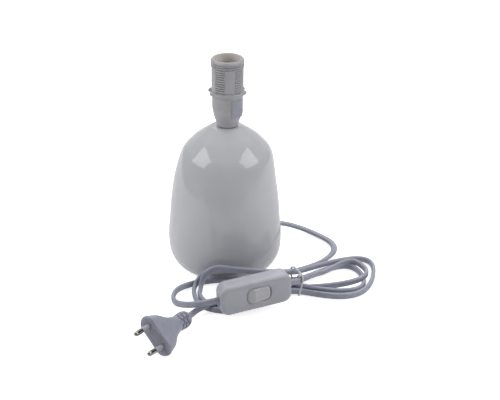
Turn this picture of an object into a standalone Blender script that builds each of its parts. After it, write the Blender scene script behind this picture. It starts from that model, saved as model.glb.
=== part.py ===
# Table lamp: a cast body with a small screw lampholder, its cord, in-line switch and flat plug.
# Metres, +Z up. The origin is the middle of the base, on the surface that the lamp stands on.
import math

import bmesh
import bpy
from mathutils import Matrix, Vector

for old in list(bpy.data.objects):
    bpy.data.objects.remove(old)

# Fits
gap = 0.0003
overrun = 0.002
shell_steps = 48
body_steps = 40
round_steps = 24
small_steps = 12

# Cast body
body_radius = 0.0482
body_top = 0.126
body_wall = 0.005
neck_offset = 0.0024
neck_radius = 0.011
ceiling_thickness = 0.007
ceiling_radius = 0.012
pad_thickness = 0.0015
pad_inset = 0.0022
body_shares = [
    (0.000, 0.830), (0.042, 0.929), (0.090, 0.979), (0.147, 0.998), (0.219, 1.000), (0.324, 0.975),
    (0.436, 0.952), (0.549, 0.917), (0.662, 0.871), (0.767, 0.815), (0.831, 0.753), (0.879, 0.654),
    (0.920, 0.540), (0.960, 0.399), (0.988, 0.292),
]
lean_shares = [(0.0, 0.25), (0.22, 0.05), (0.62, 0.10), (0.73, 0.45), (0.80, 0.72), (0.92, 0.75), (1.0, 0.70)]

# Threaded tube through the neck, with its washer and nut
nipple_radius = 0.005
nipple_bore = 0.00375
nipple_below = 0.016
nipple_above = 0.010
washer_radius = 0.0095
washer_thickness = 0.0015
nut_radius = 0.008
nut_height = 0.004

# Lampholder
holder_radius = 0.01265
cap_height = 0.0167
cap_boss_radius = 0.0072
cap_boss_height = 0.0082
cap_shares = [
    (0.00, 0.650), (0.04, 0.690), (0.20, 0.745), (0.32, 0.801), (0.42, 0.852), (0.53, 0.892),
    (0.75, 0.950), (0.94, 0.990), (1.00, 1.0),
]
cap_inner_shares = [(0.20, 0.62), (0.53, 0.77), (0.80, 0.885), (1.00, 0.885)]
holder_height = 0.058
collar_bottom = 0.0284
collar_height = 0.0029
collar_radius = 0.0139
# Each ear has the angle of its tip, its reach and the angle that its back runs out over
ears = [(22.5, 0.0153, 20.0), (-7.5, 0.0157, -20.0), (172.5, 0.0160, -22.5), (202.5, 0.0157, 22.5)]
notches = [(-7.5, 22.5), (172.5, 202.5)]
barrel_radius = 0.01265
rib_radius = 0.0135
rib_pitch = 0.00195
rib_crest_share = 0.5
lip_height = 0.0028
full_thread = 0.007
mouth_bore = 0.011
spigot_radius = 0.0108
spigot_bore = 0.0099
spigot_length = 0.0035
shelf_height = 0.0228
shelf_bore = 0.0085
shelf_thickness = 0.0015
panel_depth = 0.00005
holder_turn = 10.0
panels = [(-111.0, -69.0), (-33.0, 33.0), (69.0, 111.0), (147.0, 213.0)]

# Inside the lampholder
base_height = 0.007
base_boss_radius = 0.0048
base_boss_height = 0.0022
shell_radius = 0.0074
shell_wall = 0.0004
shell_height = 0.015
shell_wave = 0.0004
shell_turns = 4
shell_flange = 0.0019
tongue_width = 0.0035
tongue_thickness = 0.0005
tongue_rise = 0.0028
terminal_place = 0.0052
terminal_head_radius = 0.0024
terminal_head_height = 0.0014
terminal_shank_radius = 0.0013
terminal_shank_length = 0.0045

# Sticker on the lampholder, bare
label_radius = 0.01295
label_thickness = 0.0002
label_bottom = 0.0098
label_height = 0.0154
label_from = -74.0
label_to = -22.0

# Flat cord, drawn as a round tube as thick as its short side
cord_width = 0.0054
cord_depth = 0.0034
cord_radius = cord_depth / 2
core_radius = 0.0006
bend_weight = 0.016
run_points = 18
plug_run_points = 13
loop_points = 24

# Bush in the rear wall
exit_heading = math.radians(51.7)
exit_pull = 0.018
exit_height = 0.011
exit_inset = 0.0072
bush_radius = 0.0043
bush_inner_inset = 0.0077
bush_outer_reach = 0.0008

# In-line switch, standing on its long edge
switch_length = 0.062
switch_height = 0.0255
switch_depth = 0.015
switch_corner = 0.0080
switch_edge = 0.0025
switch_wall = 0.0018
switch_middle = (0.0260, -0.0867, 0.0191)
switch_yaw = math.radians(22.7)
switch_rise = math.radians(1.9)
rocker_length = 0.0204
rocker_width = 0.0122
rocker_along = 0.0009
rocker_up = 0.0008
rocker_play = 0.0004
rocker_pivot = 0.0015
rocker_tilt = math.radians(12.0)
rocker_shares = [
    (-0.473, -0.221), (-0.492, -0.160), (-0.500, -0.100), (-0.490, -0.050), (-0.455, -0.020), (-0.39, 0.012),
    (-0.295, 0.047), (-0.215, 0.063), (-0.10, 0.067), (0.0, 0.068),
]
rocker_plan_shares = [(1.0, 0.608), (0.95, 0.758), (0.808, 0.885), (0.595, 0.970), (0.344, 1.0)]
pin_radius = 0.0008
pin_bore = 0.0011
rib_depth = 0.0034
rib_thickness = 0.0014
strip_length = 0.0120
strip_width = 0.0040
strip_thickness = 0.0006
contact_length = 0.0070
contact_width = 0.0050
contact_place = 0.0120
contact_level = 0.0030
contact_post = 0.0010
contact_strip = 0.0008
switch_screw_radius = 0.0014
switch_screw_head = 0.0024
switch_screw_head_height = 0.0012
clamp_place = 0.0245
clamp_length = 0.0050
clamp_width = 0.0150
cover_screw_along = 0.0185
cover_screw_place = 0.0076
cover_screw_level = 0.0030
cover_boss_radius = 0.0030
cord_in_switch = 0.0090
switch_pull_in = 0.0143
switch_pull_out = 0.0160
core_lane = 0.0072

# Flat two-pin plug
plug_face = (-0.0489, -0.1482, 0.0158)
plug_yaw = math.radians(-116.7)
plug_lift = math.radians(12.0)
plug_roll = math.radians(-44.4)
plug_width = 0.0353
plug_thickness = 0.0137
plug_length = 0.0474
plug_pull = 0.0156
tail_radius = 0.0066
plug_sections = [
    (0.00, 0.950, 0.920, 0.00), (0.02, 1.000, 1.000, 0.00), (0.07, 1.000, 1.000, 0.00),
    (0.09, 0.965, 0.985, 0.00), (0.17, 0.915, 0.975, 0.05), (0.26, 0.845, 0.960, 0.15),
    (0.32, 0.735, 0.950, 0.24), (0.38, 0.625, 0.935, 0.35), (0.46, 0.520, 0.920, 0.55),
    (0.56, 0.425, 0.915, 0.85), (0.65, 0.366, 0.942, 1.00), (0.80, 0.380, 0.980, 1.00),
    (0.88, 0.397, 1.022, 1.00), (0.95, 0.375, 0.965, 1.00), (0.985, 0.325, 0.840, 1.00),
    (1.00, 0.240, 0.620, 1.00),
]
plug_corner_shares = (0.26, 0.67)
groove_shares = [0.69, 0.74, 0.79, 0.84]
groove_half_share = 0.012
groove_depth = 0.0009
carrier_width = 0.0262
carrier_thickness = 0.0070
carrier_depth = 0.0060
carrier_corner_share = 0.48
pin_length = 0.019
plug_pin_radius = 0.002
pin_shank_radius = 0.0015
pin_spacing = 0.0186
pin_tip_spacing = 0.0175
pin_root = 0.0045
sleeve_length = 0.010
sleeve_bore = 0.0018

# Wire tie round the hank
tie_wire = 0.0006
tie_play = 0.0004
tie_reach = 0.025
tie_place = (0.0600, -0.0510, 0.0090)
tie_heading = math.radians(14.0)
tie_knot = math.radians(65.0)
tie_points = 40
tail_length = 0.004
tail_points = 9
tail_turn = math.radians(50.0)

# The cord's way in stations, each a place on it and the pull of the curve there. The first loop of the
# lamp's side goes round outside the second; the plug's side makes one loop of its own
lamp_run = [
    ((0.0882, 0.0345, 0.0020), (0.0253, -0.0259, -0.0008)),
    ((0.0612, -0.0363, 0.0093), (-0.0102, -0.0124, 0.0042)),
]
left_lobe_outer = [
    ((-0.0003, -0.0503, 0.0186), (-0.0137, 0.0009, 0.0018)),
    ((-0.0239, -0.0617, 0.0027), (0.0011, -0.0137, -0.0003)),
    ((0.0008, -0.0902, 0.0021), (0.0190, -0.0025, 0.0001)),
    ((0.0606, -0.0600, 0.0036), (0.0160, 0.0005, -0.0011)),
]
right_lobe_outer = [
    ((0.1267, -0.0299, 0.0023), (0.0091, 0.0570, -0.0009)),
    ((0.0612, -0.0433, 0.0124), (-0.0105, -0.0154, 0.0073)),
]
left_lobe_inner = [
    ((0.0013, -0.0545, 0.0213), (-0.0190, -0.0016, 0.0038)),
    ((-0.0190, -0.0613, 0.0023), (-0.0010, -0.0097, -0.0006)),
    ((0.0025, -0.0853, 0.0020), (0.0154, -0.0004, -0.0001)),
    ((0.0599, -0.0543, 0.0035), (0.0134, 0.0006, -0.0010)),
]
right_lobe_inner = [
    ((0.1190, -0.0260, 0.0066), (-0.0111, 0.0261, 0.0001)),
    ((0.0810, -0.0425, 0.0108), (-0.0120, -0.0098, 0.0024)),
]
plug_side_left_lobe = [
    ((-0.0404, -0.0709, 0.0025), (-0.0002, 0.0111, 0.0040)),
    ((-0.0100, -0.0461, 0.0044), (0.0156, -0.0039, 0.0048)),
    ((0.0602, -0.0461, 0.0059), (0.0160, 0.0069, -0.0017)),
]
plug_side_right_lobe = [
    ((0.1168, -0.0328, 0.0020), (0.0092, -0.0396, -0.0006)),
    ((0.0600, -0.0555, 0.0080), (-0.0070, 0.0017, 0.0029)),
]
plug_run = [((-0.0071, -0.0860, 0.0067), (-0.0158, -0.0076, -0.0014))]


def paint(name, colour, roughness, metallic=0):
    look = bpy.data.materials.new(name)
    look.use_nodes = True
    shader = look.node_tree.nodes["Principled BSDF"]
    shader.inputs["Base Color"].default_value = (*colour, 1)
    shader.inputs["Roughness"].default_value = roughness
    shader.inputs["Metallic"].default_value = metallic
    return look


glaze = paint("white_glaze", (0.62, 0.63, 0.65), 0.12)
felt = paint("pad_foam", (0.10, 0.10, 0.11), 0.9)
holder_white = paint("holder_plastic", (0.42, 0.42, 0.42), 0.4)
sticker = paint("sticker_paper", (0.62, 0.63, 0.66), 0.5)
ceramic = paint("base_ceramic", (0.70, 0.68, 0.64), 0.6)
plated = paint("plated_steel", (0.55, 0.54, 0.52), 0.3, 1)
brass = paint("brass", (0.70, 0.52, 0.26), 0.35, 1)
rubber = paint("bush_rubber", (0.30, 0.31, 0.34), 0.7)
cord_vinyl = paint("cord_vinyl", (0.36, 0.37, 0.43), 0.45)
core_brown = paint("core_brown", (0.16, 0.07, 0.03), 0.5)
core_blue = paint("core_blue", (0.05, 0.12, 0.40), 0.5)
switch_white = paint("switch_plastic", (0.48, 0.49, 0.53), 0.35)
plug_vinyl = paint("plug_vinyl", (0.34, 0.35, 0.41), 0.45)
chrome = paint("pin_nickel", (0.45, 0.44, 0.43), 0.2, 1)
sleeve_plastic = paint("sleeve_plastic", (0.50, 0.51, 0.54), 0.4)
wire = paint("tie_wire", (0.42, 0.43, 0.48), 0.4)


def add(name, bm, look, parent=None, place=(0, 0, 0), turn=(0, 0, 0)):
    bmesh.ops.recalc_face_normals(bm, faces=bm.faces)
    mesh = bpy.data.meshes.new(name)
    bm.to_mesh(mesh)
    bm.free()
    mesh.shade_smooth()
    mesh.set_sharp_from_angle(angle=math.radians(35))
    mesh.materials.append(look)
    obj = bpy.data.objects.new(name, mesh)
    bpy.context.scene.collection.objects.link(obj)
    obj.parent = parent
    obj.location = place
    obj.rotation_euler = turn
    return obj


def empty(name, place, matrix=None, parent=None):
    obj = bpy.data.objects.new(name, None)
    bpy.context.scene.collection.objects.link(obj)
    obj.parent = parent
    obj.matrix_basis = Matrix.Translation(place) @ (matrix or Matrix())
    return obj


def cut(target, cutter, operation="DIFFERENCE"):
    cutter.hide_render = True
    cutter.display_type = "WIRE"
    boolean = target.modifiers.new(cutter.name, "BOOLEAN")
    boolean.operation = operation
    boolean.object = cutter


def spun(profile, steps):
    # Turns an outline of (radius, height) points round Z; one that leaves the axis is closed first
    bm = bmesh.new()
    points = [bm.verts.new((radius, 0, height)) for radius, height in profile]
    edges = [bm.edges.new(pair) for pair in zip(points, points[1:])]
    if profile[0][0] > 0:
        edges.append(bm.edges.new((points[-1], points[0])))
    bmesh.ops.spin(
        bm, geom=points + edges, axis=(0, 0, 1), cent=(0, 0, 0), angle=math.tau, steps=steps,
        use_merge=True,
    )
    bmesh.ops.remove_doubles(bm, verts=bm.verts, dist=gap / 100)
    return bm


def loft(sections):
    # Joins equal rings of points and closes both ends
    bm = bmesh.new()
    rings = [[bm.verts.new(point) for point in section] for section in sections]
    for ring, following in zip(rings, rings[1:]):
        for i in range(len(ring)):
            j = (i + 1) % len(ring)
            bm.faces.new((ring[i], ring[j], following[j], following[i]))
    bm.faces.new(rings[0])
    bm.faces.new(rings[-1])
    return bm


def rod(radius, bottom, top, steps=small_steps):
    return spun([(0, top), (radius, top), (radius, bottom), (0, bottom)], steps)


def ring(inner, outer, bottom, top, steps=round_steps):
    return spun([(outer, top), (outer, bottom), (inner, bottom), (inner, top)], steps)


def block(size, middle=(0, 0, 0)):
    bm = bmesh.new()
    bmesh.ops.create_cube(bm, size=1)
    for point in bm.verts:
        point.co = Vector(middle) + Vector(a * b for a, b in zip(point.co, size))
    return bm


def arc_piece(inner, outer, bottom, top, start, end, steps):
    # Part of a ring, between two angles in degrees
    sections = []
    for i in range(steps + 1):
        angle = math.radians(start + (end - start) * i / steps)
        across = Vector((math.cos(angle), math.sin(angle), 0))
        sections.append([
            across * inner + Vector((0, 0, bottom)), across * outer + Vector((0, 0, bottom)),
            across * outer + Vector((0, 0, top)), across * inner + Vector((0, 0, top)),
        ])
    return loft(sections)


def rounded(length, height, corner, level, steps=4):
    # A rectangle with round corners, as points at one level
    points = []
    for quarter in range(4):
        sign_x = 1 if quarter in (0, 3) else -1
        sign_y = 1 if quarter in (0, 1) else -1
        for i in range(steps + 1):
            angle = (quarter + i / steps) * math.pi / 2
            points.append((
                sign_x * (length / 2 - corner) + corner * math.cos(angle),
                sign_y * (height / 2 - corner) + corner * math.sin(angle), level,
            ))
    return points


def bezier_points(stations, steps=24):
    # Each station is a place and the pull of the curve through it
    points = []
    for (start, pull), (end, end_pull) in zip(stations, stations[1:]):
        start, end = Vector(start), Vector(end)
        handles = start, start + Vector(pull), end - Vector(end_pull), end
        for i in range(steps):
            t = i / steps
            weights = (1 - t) ** 3, 3 * (1 - t) ** 2 * t, 3 * (1 - t) * t * t, t ** 3
            points.append(sum((handle * weight for handle, weight in zip(handles, weights)), Vector()))
    points.append(Vector(stations[-1][0]))
    return points


def spaced(points, count):
    # Picks points along a curve, closer together where it bends
    travel = [0]
    for i in range(1, len(points)):
        step = points[i] - points[i - 1]
        bend = step.angle(points[i + 1] - points[i]) if i + 1 < len(points) else 0
        travel.append(travel[-1] + step.length + bend * bend_weight)
    chosen = []
    j = 0
    for i in range(count):
        wanted = travel[-1] * i / (count - 1)
        while j < len(travel) - 2 and travel[j + 1] < wanted:
            j += 1
        share = (wanted - travel[j]) / (travel[j + 1] - travel[j])
        chosen.append(points[j].lerp(points[j + 1], min(share, 1)))
    return chosen


def shortened(points, start=0, end=0):
    # Takes a length off each end of a curve
    for amount in (end, start):
        points = points[::-1]
        while amount > 0 and (points[1] - points[0]).length <= amount:
            amount -= (points[1] - points[0]).length
            points = points[1:]
        if amount > 0:
            points = [points[0] + (points[1] - points[0]).normalized() * amount] + points[1:]
    return points


def laid(stations, radius, count, off_start=0, off_end=0):
    # Points of a tube along a curve, straight for a diameter at each end. An end is cut back by its
    # length, or runs straight on where that is negative
    way = shortened(bezier_points(stations), max(off_start, 0), max(off_end, 0))
    ends = []
    for points, off in ((way, off_start), (way[::-1], off_end)):
        outward = (points[0] - points[1]).normalized()
        ends.append((points[0] + outward * max(-off, 0), points[0] - outward * 2 * radius))
    between = spaced(shortened(way, 2 * radius, 2 * radius), count - 2)[1:-1]
    return [*ends[0], *between, *ends[1][::-1]]


def tube(name, points, radius, resolution, look):
    curve = bpy.data.curves.new(name, "CURVE")
    curve.dimensions = "3D"
    curve.bevel_depth = radius
    curve.bevel_resolution = resolution
    curve.use_fill_caps = True
    line = curve.splines.new("POLY")
    line.points.add(len(points) - 1)
    for spot, point in zip(line.points, points):
        spot.co = (*point, 1)
    curve.materials.append(look)
    obj = bpy.data.objects.new(name, curve)
    bpy.context.scene.collection.objects.link(obj)
    return obj


def least_gap(points, radius, apart, pieces=6):
    # Distance between a tube's surfaces where it passes itself
    dense = [a.lerp(b, i / pieces) for a, b in zip(points, points[1:]) for i in range(pieces)]
    travel = [0]
    for a, b in zip(dense, dense[1:]):
        travel.append(travel[-1] + (b - a).length)
    return min(
        (dense[i] - dense[j]).length
        for i in range(len(dense)) for j in range(i) if travel[i] - travel[j] > apart
    ) - 2 * radius


# Body, its pad and the bush that the cord leaves by
foot = pad_thickness + gap
body_height = body_top - foot


def lean(share):
    for (low, start), (high, end) in zip(lean_shares, lean_shares[1:]):
        if share <= high:
            return neck_offset * (start + (end - start) * (share - low) / (high - low))
    return neck_offset


outer = [(radius * body_radius, foot + height * body_height) for height, radius in body_shares]
inner = []
for i, (radius, height) in enumerate(outer):
    before, after = outer[max(i - 1, 0)], outer[min(i + 1, len(outer) - 1)]
    along = Vector((after[0] - before[0], after[1] - before[1])).normalized()
    point = Vector((radius, height)) + Vector((-along.y, along.x)) * body_wall
    if height + body_wall < body_top - ceiling_thickness and i % 2 == 0:
        inner.append((point.x, point.y if i else foot))
ceiling = body_top - ceiling_thickness
neck_hole = nipple_radius + gap
profile = [(neck_hole, body_top), (neck_radius, body_top)] + outer[::-1] + inner
profile += [(ceiling_radius + ceiling_thickness / 2, ceiling - ceiling_thickness / 4)]
profile += [(ceiling_radius, ceiling), (neck_hole, ceiling)]
shape = spun(profile, body_steps)
for point in shape.verts:
    in_neck = math.hypot(point.co.x, point.co.y) < ceiling_radius + gap
    point.co.x += neck_offset if in_neck else lean((point.co.z - foot) / body_height)
cast_body = add("cast_body", shape, glaze)
pad_radius = body_shares[0][1] * body_radius - pad_inset
add("base_pad", rod(pad_radius, 0, pad_thickness, body_steps), felt)

exit_start = body_radius - exit_inset
bush_inner_end = body_radius - bush_inner_inset
bush_outer_end = body_radius + bush_outer_reach
exit_frame = empty(
    "exit_frame", (0, 0, exit_height),
    Matrix.Rotation(exit_heading, 4, "Z") @ Matrix.Rotation(math.radians(90), 4, "Y"),
)
bush_hole = add(
    "bush_hole", rod(bush_radius + gap, bush_inner_end - body_wall, bush_outer_end + overrun, round_steps),
    glaze, exit_frame,
)
cut(cast_body, bush_hole)
edge = (bush_radius - cord_width / 2) / 3
cord_bush = add("cord_bush", spun([
    (0, bush_outer_end), (bush_radius - edge, bush_outer_end), (bush_radius, bush_outer_end - edge),
    (bush_radius, bush_inner_end), (0, bush_inner_end),
], round_steps), rubber, exit_frame)


def cord_slot(name, bottom, top, parent, place=(0, 0, 0), turn=(0, 0, 0)):
    # A slot for the flat cord, wide along Y
    width, depth = cord_width + 2 * gap, cord_depth + 2 * gap
    sections = [
        [(y, x, z) for x, y, z in rounded(width, depth, depth * 0.45, level)] for level in (bottom, top)
    ]
    return add(name, loft(sections), glaze, parent, place, turn)


cut(cord_bush, cord_slot("bush_slot", bush_inner_end - overrun, bush_outer_end + overrun, exit_frame))

# Tube, washer and nut in the neck
neck = empty("neck", (neck_offset, 0, 0))
nipple_ends = body_top - nipple_below, body_top + nipple_above
add("nipple_tube", ring(nipple_bore, nipple_radius, *nipple_ends), brass, neck)
washer_bottom = ceiling - gap - washer_thickness
add("clamp_washer", ring(
    neck_hole, washer_radius, washer_bottom, washer_bottom + washer_thickness,
), plated, neck)
nut_bottom = washer_bottom - gap - nut_height
nipple_nut = add("nipple_nut", rod(nut_radius, nut_bottom, nut_bottom + nut_height, 6), brass, neck)
cut(nipple_nut, add(
    "nut_hole", rod(neck_hole, nut_bottom - overrun, nut_bottom + nut_height + overrun, round_steps),
    brass, neck,
))

# Lampholder: cap, then the shell with its collar, ears and thread
holder_bottom = body_top + gap
holder = empty("holder", (neck_offset, 0, holder_bottom))
cap_outer = [(radius * holder_radius, height * cap_height) for height, radius in cap_shares]
cap_inner = [(radius * holder_radius, height * cap_height) for height, radius in cap_inner_shares]
add("holder_cap", spun(cap_outer[::-1] + [
    (neck_hole, 0), (neck_hole, cap_boss_height), (cap_boss_radius, cap_boss_height),
    (cap_boss_radius, cap_inner[0][1]),
] + cap_inner, round_steps), holder_white, holder)

seam = cap_height + gap
shelf_top = shelf_height + shelf_thickness
collar_top = collar_bottom + collar_height
lip_bottom = holder_height - lip_height
lip_edge = lip_height / 5
profile = [
    (mouth_bore, holder_height - lip_edge), (mouth_bore + lip_edge, holder_height),
    (rib_radius - lip_edge, holder_height), (rib_radius, holder_height - lip_edge),
    (rib_radius, lip_bottom + lip_edge),
]
thread_room = lip_bottom - collar_top
rib_count = int(thread_room / rib_pitch)
rib_step = thread_room / rib_count
for i in range(rib_count):
    root = lip_bottom - i * rib_step
    profile += [(barrel_radius, root), (rib_radius, root - rib_step * rib_crest_share)]
profile += [
    (barrel_radius, collar_top), (collar_radius, collar_top), (collar_radius, collar_bottom),
    (holder_radius, collar_bottom), (holder_radius, seam), (spigot_radius, seam),
    (spigot_radius, seam - spigot_length), (spigot_bore, seam - spigot_length),
    (spigot_bore, shelf_height), (shelf_bore, shelf_height), (shelf_bore, shelf_top),
    (mouth_bore, shelf_top),
]
shape = spun(profile, shell_steps)
for point in shape.verts:
    radius = math.hypot(point.co.x, point.co.y)
    if radius < collar_radius - gap:
        continue
    angle = math.degrees(math.atan2(point.co.y, point.co.x))
    wanted = collar_radius
    for start, end in notches:
        if 0 < round(angle - start, 3) % 360 < end - start:
            wanted = holder_radius
    for tip, reach, run_out in ears:
        off = round((angle - tip + 180) % 360 - 180, 3) / run_out
        if 0 <= off < 1:
            wanted += (reach - collar_radius) * (1 - off)
    point.co.x *= wanted / radius
    point.co.y *= wanted / radius
holder_shell = add("holder_shell", shape, holder_white, holder)
for i, (start, end) in enumerate(panels):
    smooth_panel = add(f"smooth_panel_{i}", arc_piece(
        barrel_radius - panel_depth, rib_radius + overrun, collar_top + panel_depth,
        holder_height - full_thread, start + holder_turn, end + holder_turn, 8,
    ), holder_white, holder)
    cut(holder_shell, smooth_panel)

# Contact base, terminals, screw shell and centre contact
base_bottom = shelf_top + gap
base_top = base_bottom + base_height
boss_top = base_top + base_boss_height
base_radius = mouth_bore - gap
contact_base = add("contact_base", spun([
    (0, boss_top), (base_boss_radius, boss_top), (base_boss_radius, base_top), (base_radius, base_top),
    (base_radius, base_bottom), (0, base_bottom),
], round_steps), ceramic, holder)
head_top = base_bottom - gap
for side, name in ((-1, "left"), (1, "right")):
    hole = add(
        f"terminal_hole_{name}",
        rod(terminal_shank_radius + gap, base_bottom - overrun, head_top + terminal_shank_length + 2 * gap),
        ceramic, holder, (side * terminal_place, 0, 0),
    )
    cut(contact_base, hole)
    add(f"holder_terminal_{name}", spun([
        (0, head_top + terminal_shank_length), (terminal_shank_radius, head_top + terminal_shank_length),
        (terminal_shank_radius, head_top), (terminal_head_radius, head_top),
        (terminal_head_radius, head_top - terminal_head_height), (0, head_top - terminal_head_height),
    ], small_steps), brass, holder, (side * terminal_place, 0, 0))
shell_bottom = base_top + gap
turns = shell_turns * 4
outer_wall = []
for i in range(turns + 1):
    wave = shell_wave / 2 * (math.cos(i * math.tau / 4) - 1)
    level = shell_bottom + shell_wall * 2 + (shell_height - shell_wall * 2) * (1 - i / turns)
    outer_wall.append((shell_radius + wave, level))
inner_wall = [(radius - shell_wall, level) for radius, level in outer_wall[::-1]]
add("screw_shell", spun(outer_wall + [
    (shell_radius, shell_bottom), (shell_radius - shell_flange, shell_bottom),
    (shell_radius - shell_flange, shell_bottom + shell_wall),
    (shell_radius - 2 * shell_wall, shell_bottom + shell_wall),
] + inner_wall, round_steps), plated, holder)
tongue_bottom = boss_top + gap
half = base_boss_radius * 0.8
path = [(-half, 0), (-half * 0.4, 0), (half * 0.2, tongue_rise), (half * 0.6, tongue_rise)]
sections = []
for x, z in path:
    sections.append([
        (x, -tongue_width / 2, tongue_bottom + z), (x, tongue_width / 2, tongue_bottom + z),
        (x, tongue_width / 2, tongue_bottom + z + tongue_thickness),
        (x, -tongue_width / 2, tongue_bottom + z + tongue_thickness),
    ])
add("centre_contact", loft(sections), brass, holder)

add("holder_label", arc_piece(
    label_radius, label_radius + label_thickness, label_bottom, label_bottom + label_height,
    label_from, label_to, 8,
), sticker, holder)

# Lead inside the body, up through the neck tube, and its two cores
exit_way = Vector((math.cos(exit_heading), math.sin(exit_heading), 0))
lead_start = exit_way * (exit_start - gap) + Vector((0, 0, exit_height))
neck_line = Vector((neck_offset, 0, 0))
lead_top = holder_bottom + cap_boss_height + cord_radius * 2
lead_stations = [
    (lead_start, -exit_way * body_wall * 3),
    (neck_line + Vector((0, 0, body_top / 2)), Vector((0, 0, body_top / 5))),
    (neck_line + Vector((0, 0, lead_top)), Vector((0, 0, nipple_below))),
]
tube("inner_lead", laid(lead_stations, cord_radius, 15), cord_radius, 2, cord_vinyl)
for side, name, look in ((-1, "left", core_blue), (1, "right", core_brown)):
    start = neck_line + Vector((side * core_radius * 1.5, 0, lead_top + gap))
    head = holder_bottom + head_top - terminal_head_height - gap
    end = neck_line + Vector((side * terminal_place, 0, head))
    rise = Vector((0, 0, (head - lead_top) / 2))
    tube(f"lead_core_{name}", spaced(bezier_points([(start, rise), (end, rise)]), 7), core_radius, 1, look)

# In-line switch: X along it, Y up its long side, Z out of the face with the rocker
switch_turn = (
    Matrix.Rotation(switch_yaw, 4, "Z") @ Matrix.Rotation(math.radians(90), 4, "X")
    @ Matrix.Rotation(switch_rise, 4, "Z")
)
switch = empty("switch", switch_middle, switch_turn)
half_depth = switch_depth / 2
edge_steps = 3


def half_case(sign):
    # One half of the housing, from the split to its rounded outer face
    sections = [rounded(switch_length, switch_height, switch_corner, sign * gap / 2)]
    for i in range(edge_steps + 1):
        angle = math.pi / 2 * i / edge_steps
        inset = switch_edge * (1 - math.cos(angle))
        level = half_depth - switch_edge + switch_edge * math.sin(angle)
        sections.append(rounded(
            switch_length - 2 * inset, switch_height - 2 * inset, switch_corner - inset, sign * level,
        ))
    return loft(sections)


def hollow(target, sign, name):
    inside = [
        rounded(
            switch_length - 2 * switch_wall, switch_height - 2 * switch_wall, switch_corner - switch_wall,
            level,
        )
        for level in (-sign * overrun, sign * (half_depth - switch_wall))
    ]
    cut(target, add(name, loft(inside), switch_white, switch))


switch_cover = add("switch_cover", half_case(1), switch_white, switch)
switch_base = add("switch_base", half_case(-1), switch_white, switch)
hollow(switch_cover, 1, "cover_hollow")
hollow(switch_base, -1, "base_hollow")


def rocker_sections(outline, play):
    # The outline in X and Z, drawn in towards both sides, which rounds the corners of the plan
    half_width = rocker_width / 2 + play
    rows = [(share * half_width, reach) for share, reach in rocker_plan_shares]
    rows += [(-y, reach) for y, reach in rows[::-1]]
    return [
        [((x + math.copysign(play, x)) * reach if x else 0, y, z) for x, z in outline]
        for y, reach in rows[::-1]
    ]


half_rocker = rocker_length / 2
opening = [
    (-half_rocker, half_depth / 2), (-half_rocker, 3 * half_depth / 2), (half_rocker, 3 * half_depth / 2),
    (half_rocker, half_depth / 2),
]
cut(switch_cover, add(
    "rocker_opening", loft(rocker_sections(opening, rocker_play)), switch_white, switch,
    (rocker_along, rocker_up, 0),
))
for side, name in ((-1, "left"), (1, "right")):
    for target, sort in ((switch_cover, "cover"), (switch_base, "base")):
        slot = cord_slot(
            f"{sort}_slot_{name}", -overrun, 2 * overrun, switch,
            (side * (switch_length / 2 - overrun), 0, 0), (0, math.radians(90) * side, 0),
        )
        cut(target, slot)

# Ribs inside the cover that hold the rocker's pin
pivot_level = half_depth - rocker_pivot
rib_middle = rocker_width / 2 + rocker_play + rib_thickness / 2
rib_level = half_depth - switch_wall / 2 - rib_depth / 2
for side in (-1, 1):
    rib = add(
        f"pin_rib_{side + 1}",
        block(
            (rib_depth, rib_thickness, rib_depth), (rocker_along, rocker_up + side * rib_middle, rib_level),
        ),
        switch_white, switch,
    )
    cut(switch_cover, rib, "UNION")
pin_length_inside = rocker_width + 2 * rocker_play + 2 * rib_thickness
pin_turn = (math.radians(90), 0, 0)
pin_place = (rocker_along, rocker_up, pivot_level)
pin_hole = add(
    "pin_hole", rod(pin_bore, -pin_length_inside / 2 - gap, pin_length_inside / 2 + gap),
    switch_white, switch, pin_place, pin_turn,
)
cut(switch_cover, pin_hole)
add(
    "rocker_pin", rod(pin_radius, -pin_length_inside / 2, pin_length_inside / 2), plated, switch,
    pin_place, pin_turn,
)

# Rocker, tilted with its left end out, and the contact strip under it
rocker_frame = empty("rocker_frame", pin_place, Matrix.Rotation(rocker_tilt, 4, "Y"), switch)
outline = [(x * rocker_length, z * rocker_length + rocker_pivot) for x, z in rocker_shares]
outline += [(-x, z) for x, z in outline[-2::-1]]
switch_rocker = add("switch_rocker", loft(rocker_sections(outline, 0)), switch_white, rocker_frame)
rocker_hole = add(
    "rocker_hole", rod(pin_bore, -rocker_width, rocker_width), switch_white, rocker_frame,
    turn=pin_turn,
)
cut(switch_rocker, rocker_hole)
rocker_bottom = outline[0][1]
add("rocker_contact", block(
    (strip_length, strip_width, strip_thickness), (0, 0, rocker_bottom - gap - strip_thickness / 2),
), brass, rocker_frame)

# Fixed contacts: the left one stands under the rocker's middle, the right one under its strip's end
base_floor = -half_depth + switch_wall
contact_bottom = base_floor + gap
contact_top = contact_bottom + contact_level
strip_depth = gap + strip_thickness - rocker_bottom
strip_end = strip_length / 2 * math.cos(rocker_tilt) - strip_depth * math.sin(rocker_tilt)


def under_strip(along):
    # Level just clear of the tilted strip's underside
    out = along - rocker_along
    return pivot_level - out * math.tan(rocker_tilt) - strip_depth / math.cos(rocker_tilt) - gap


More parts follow.
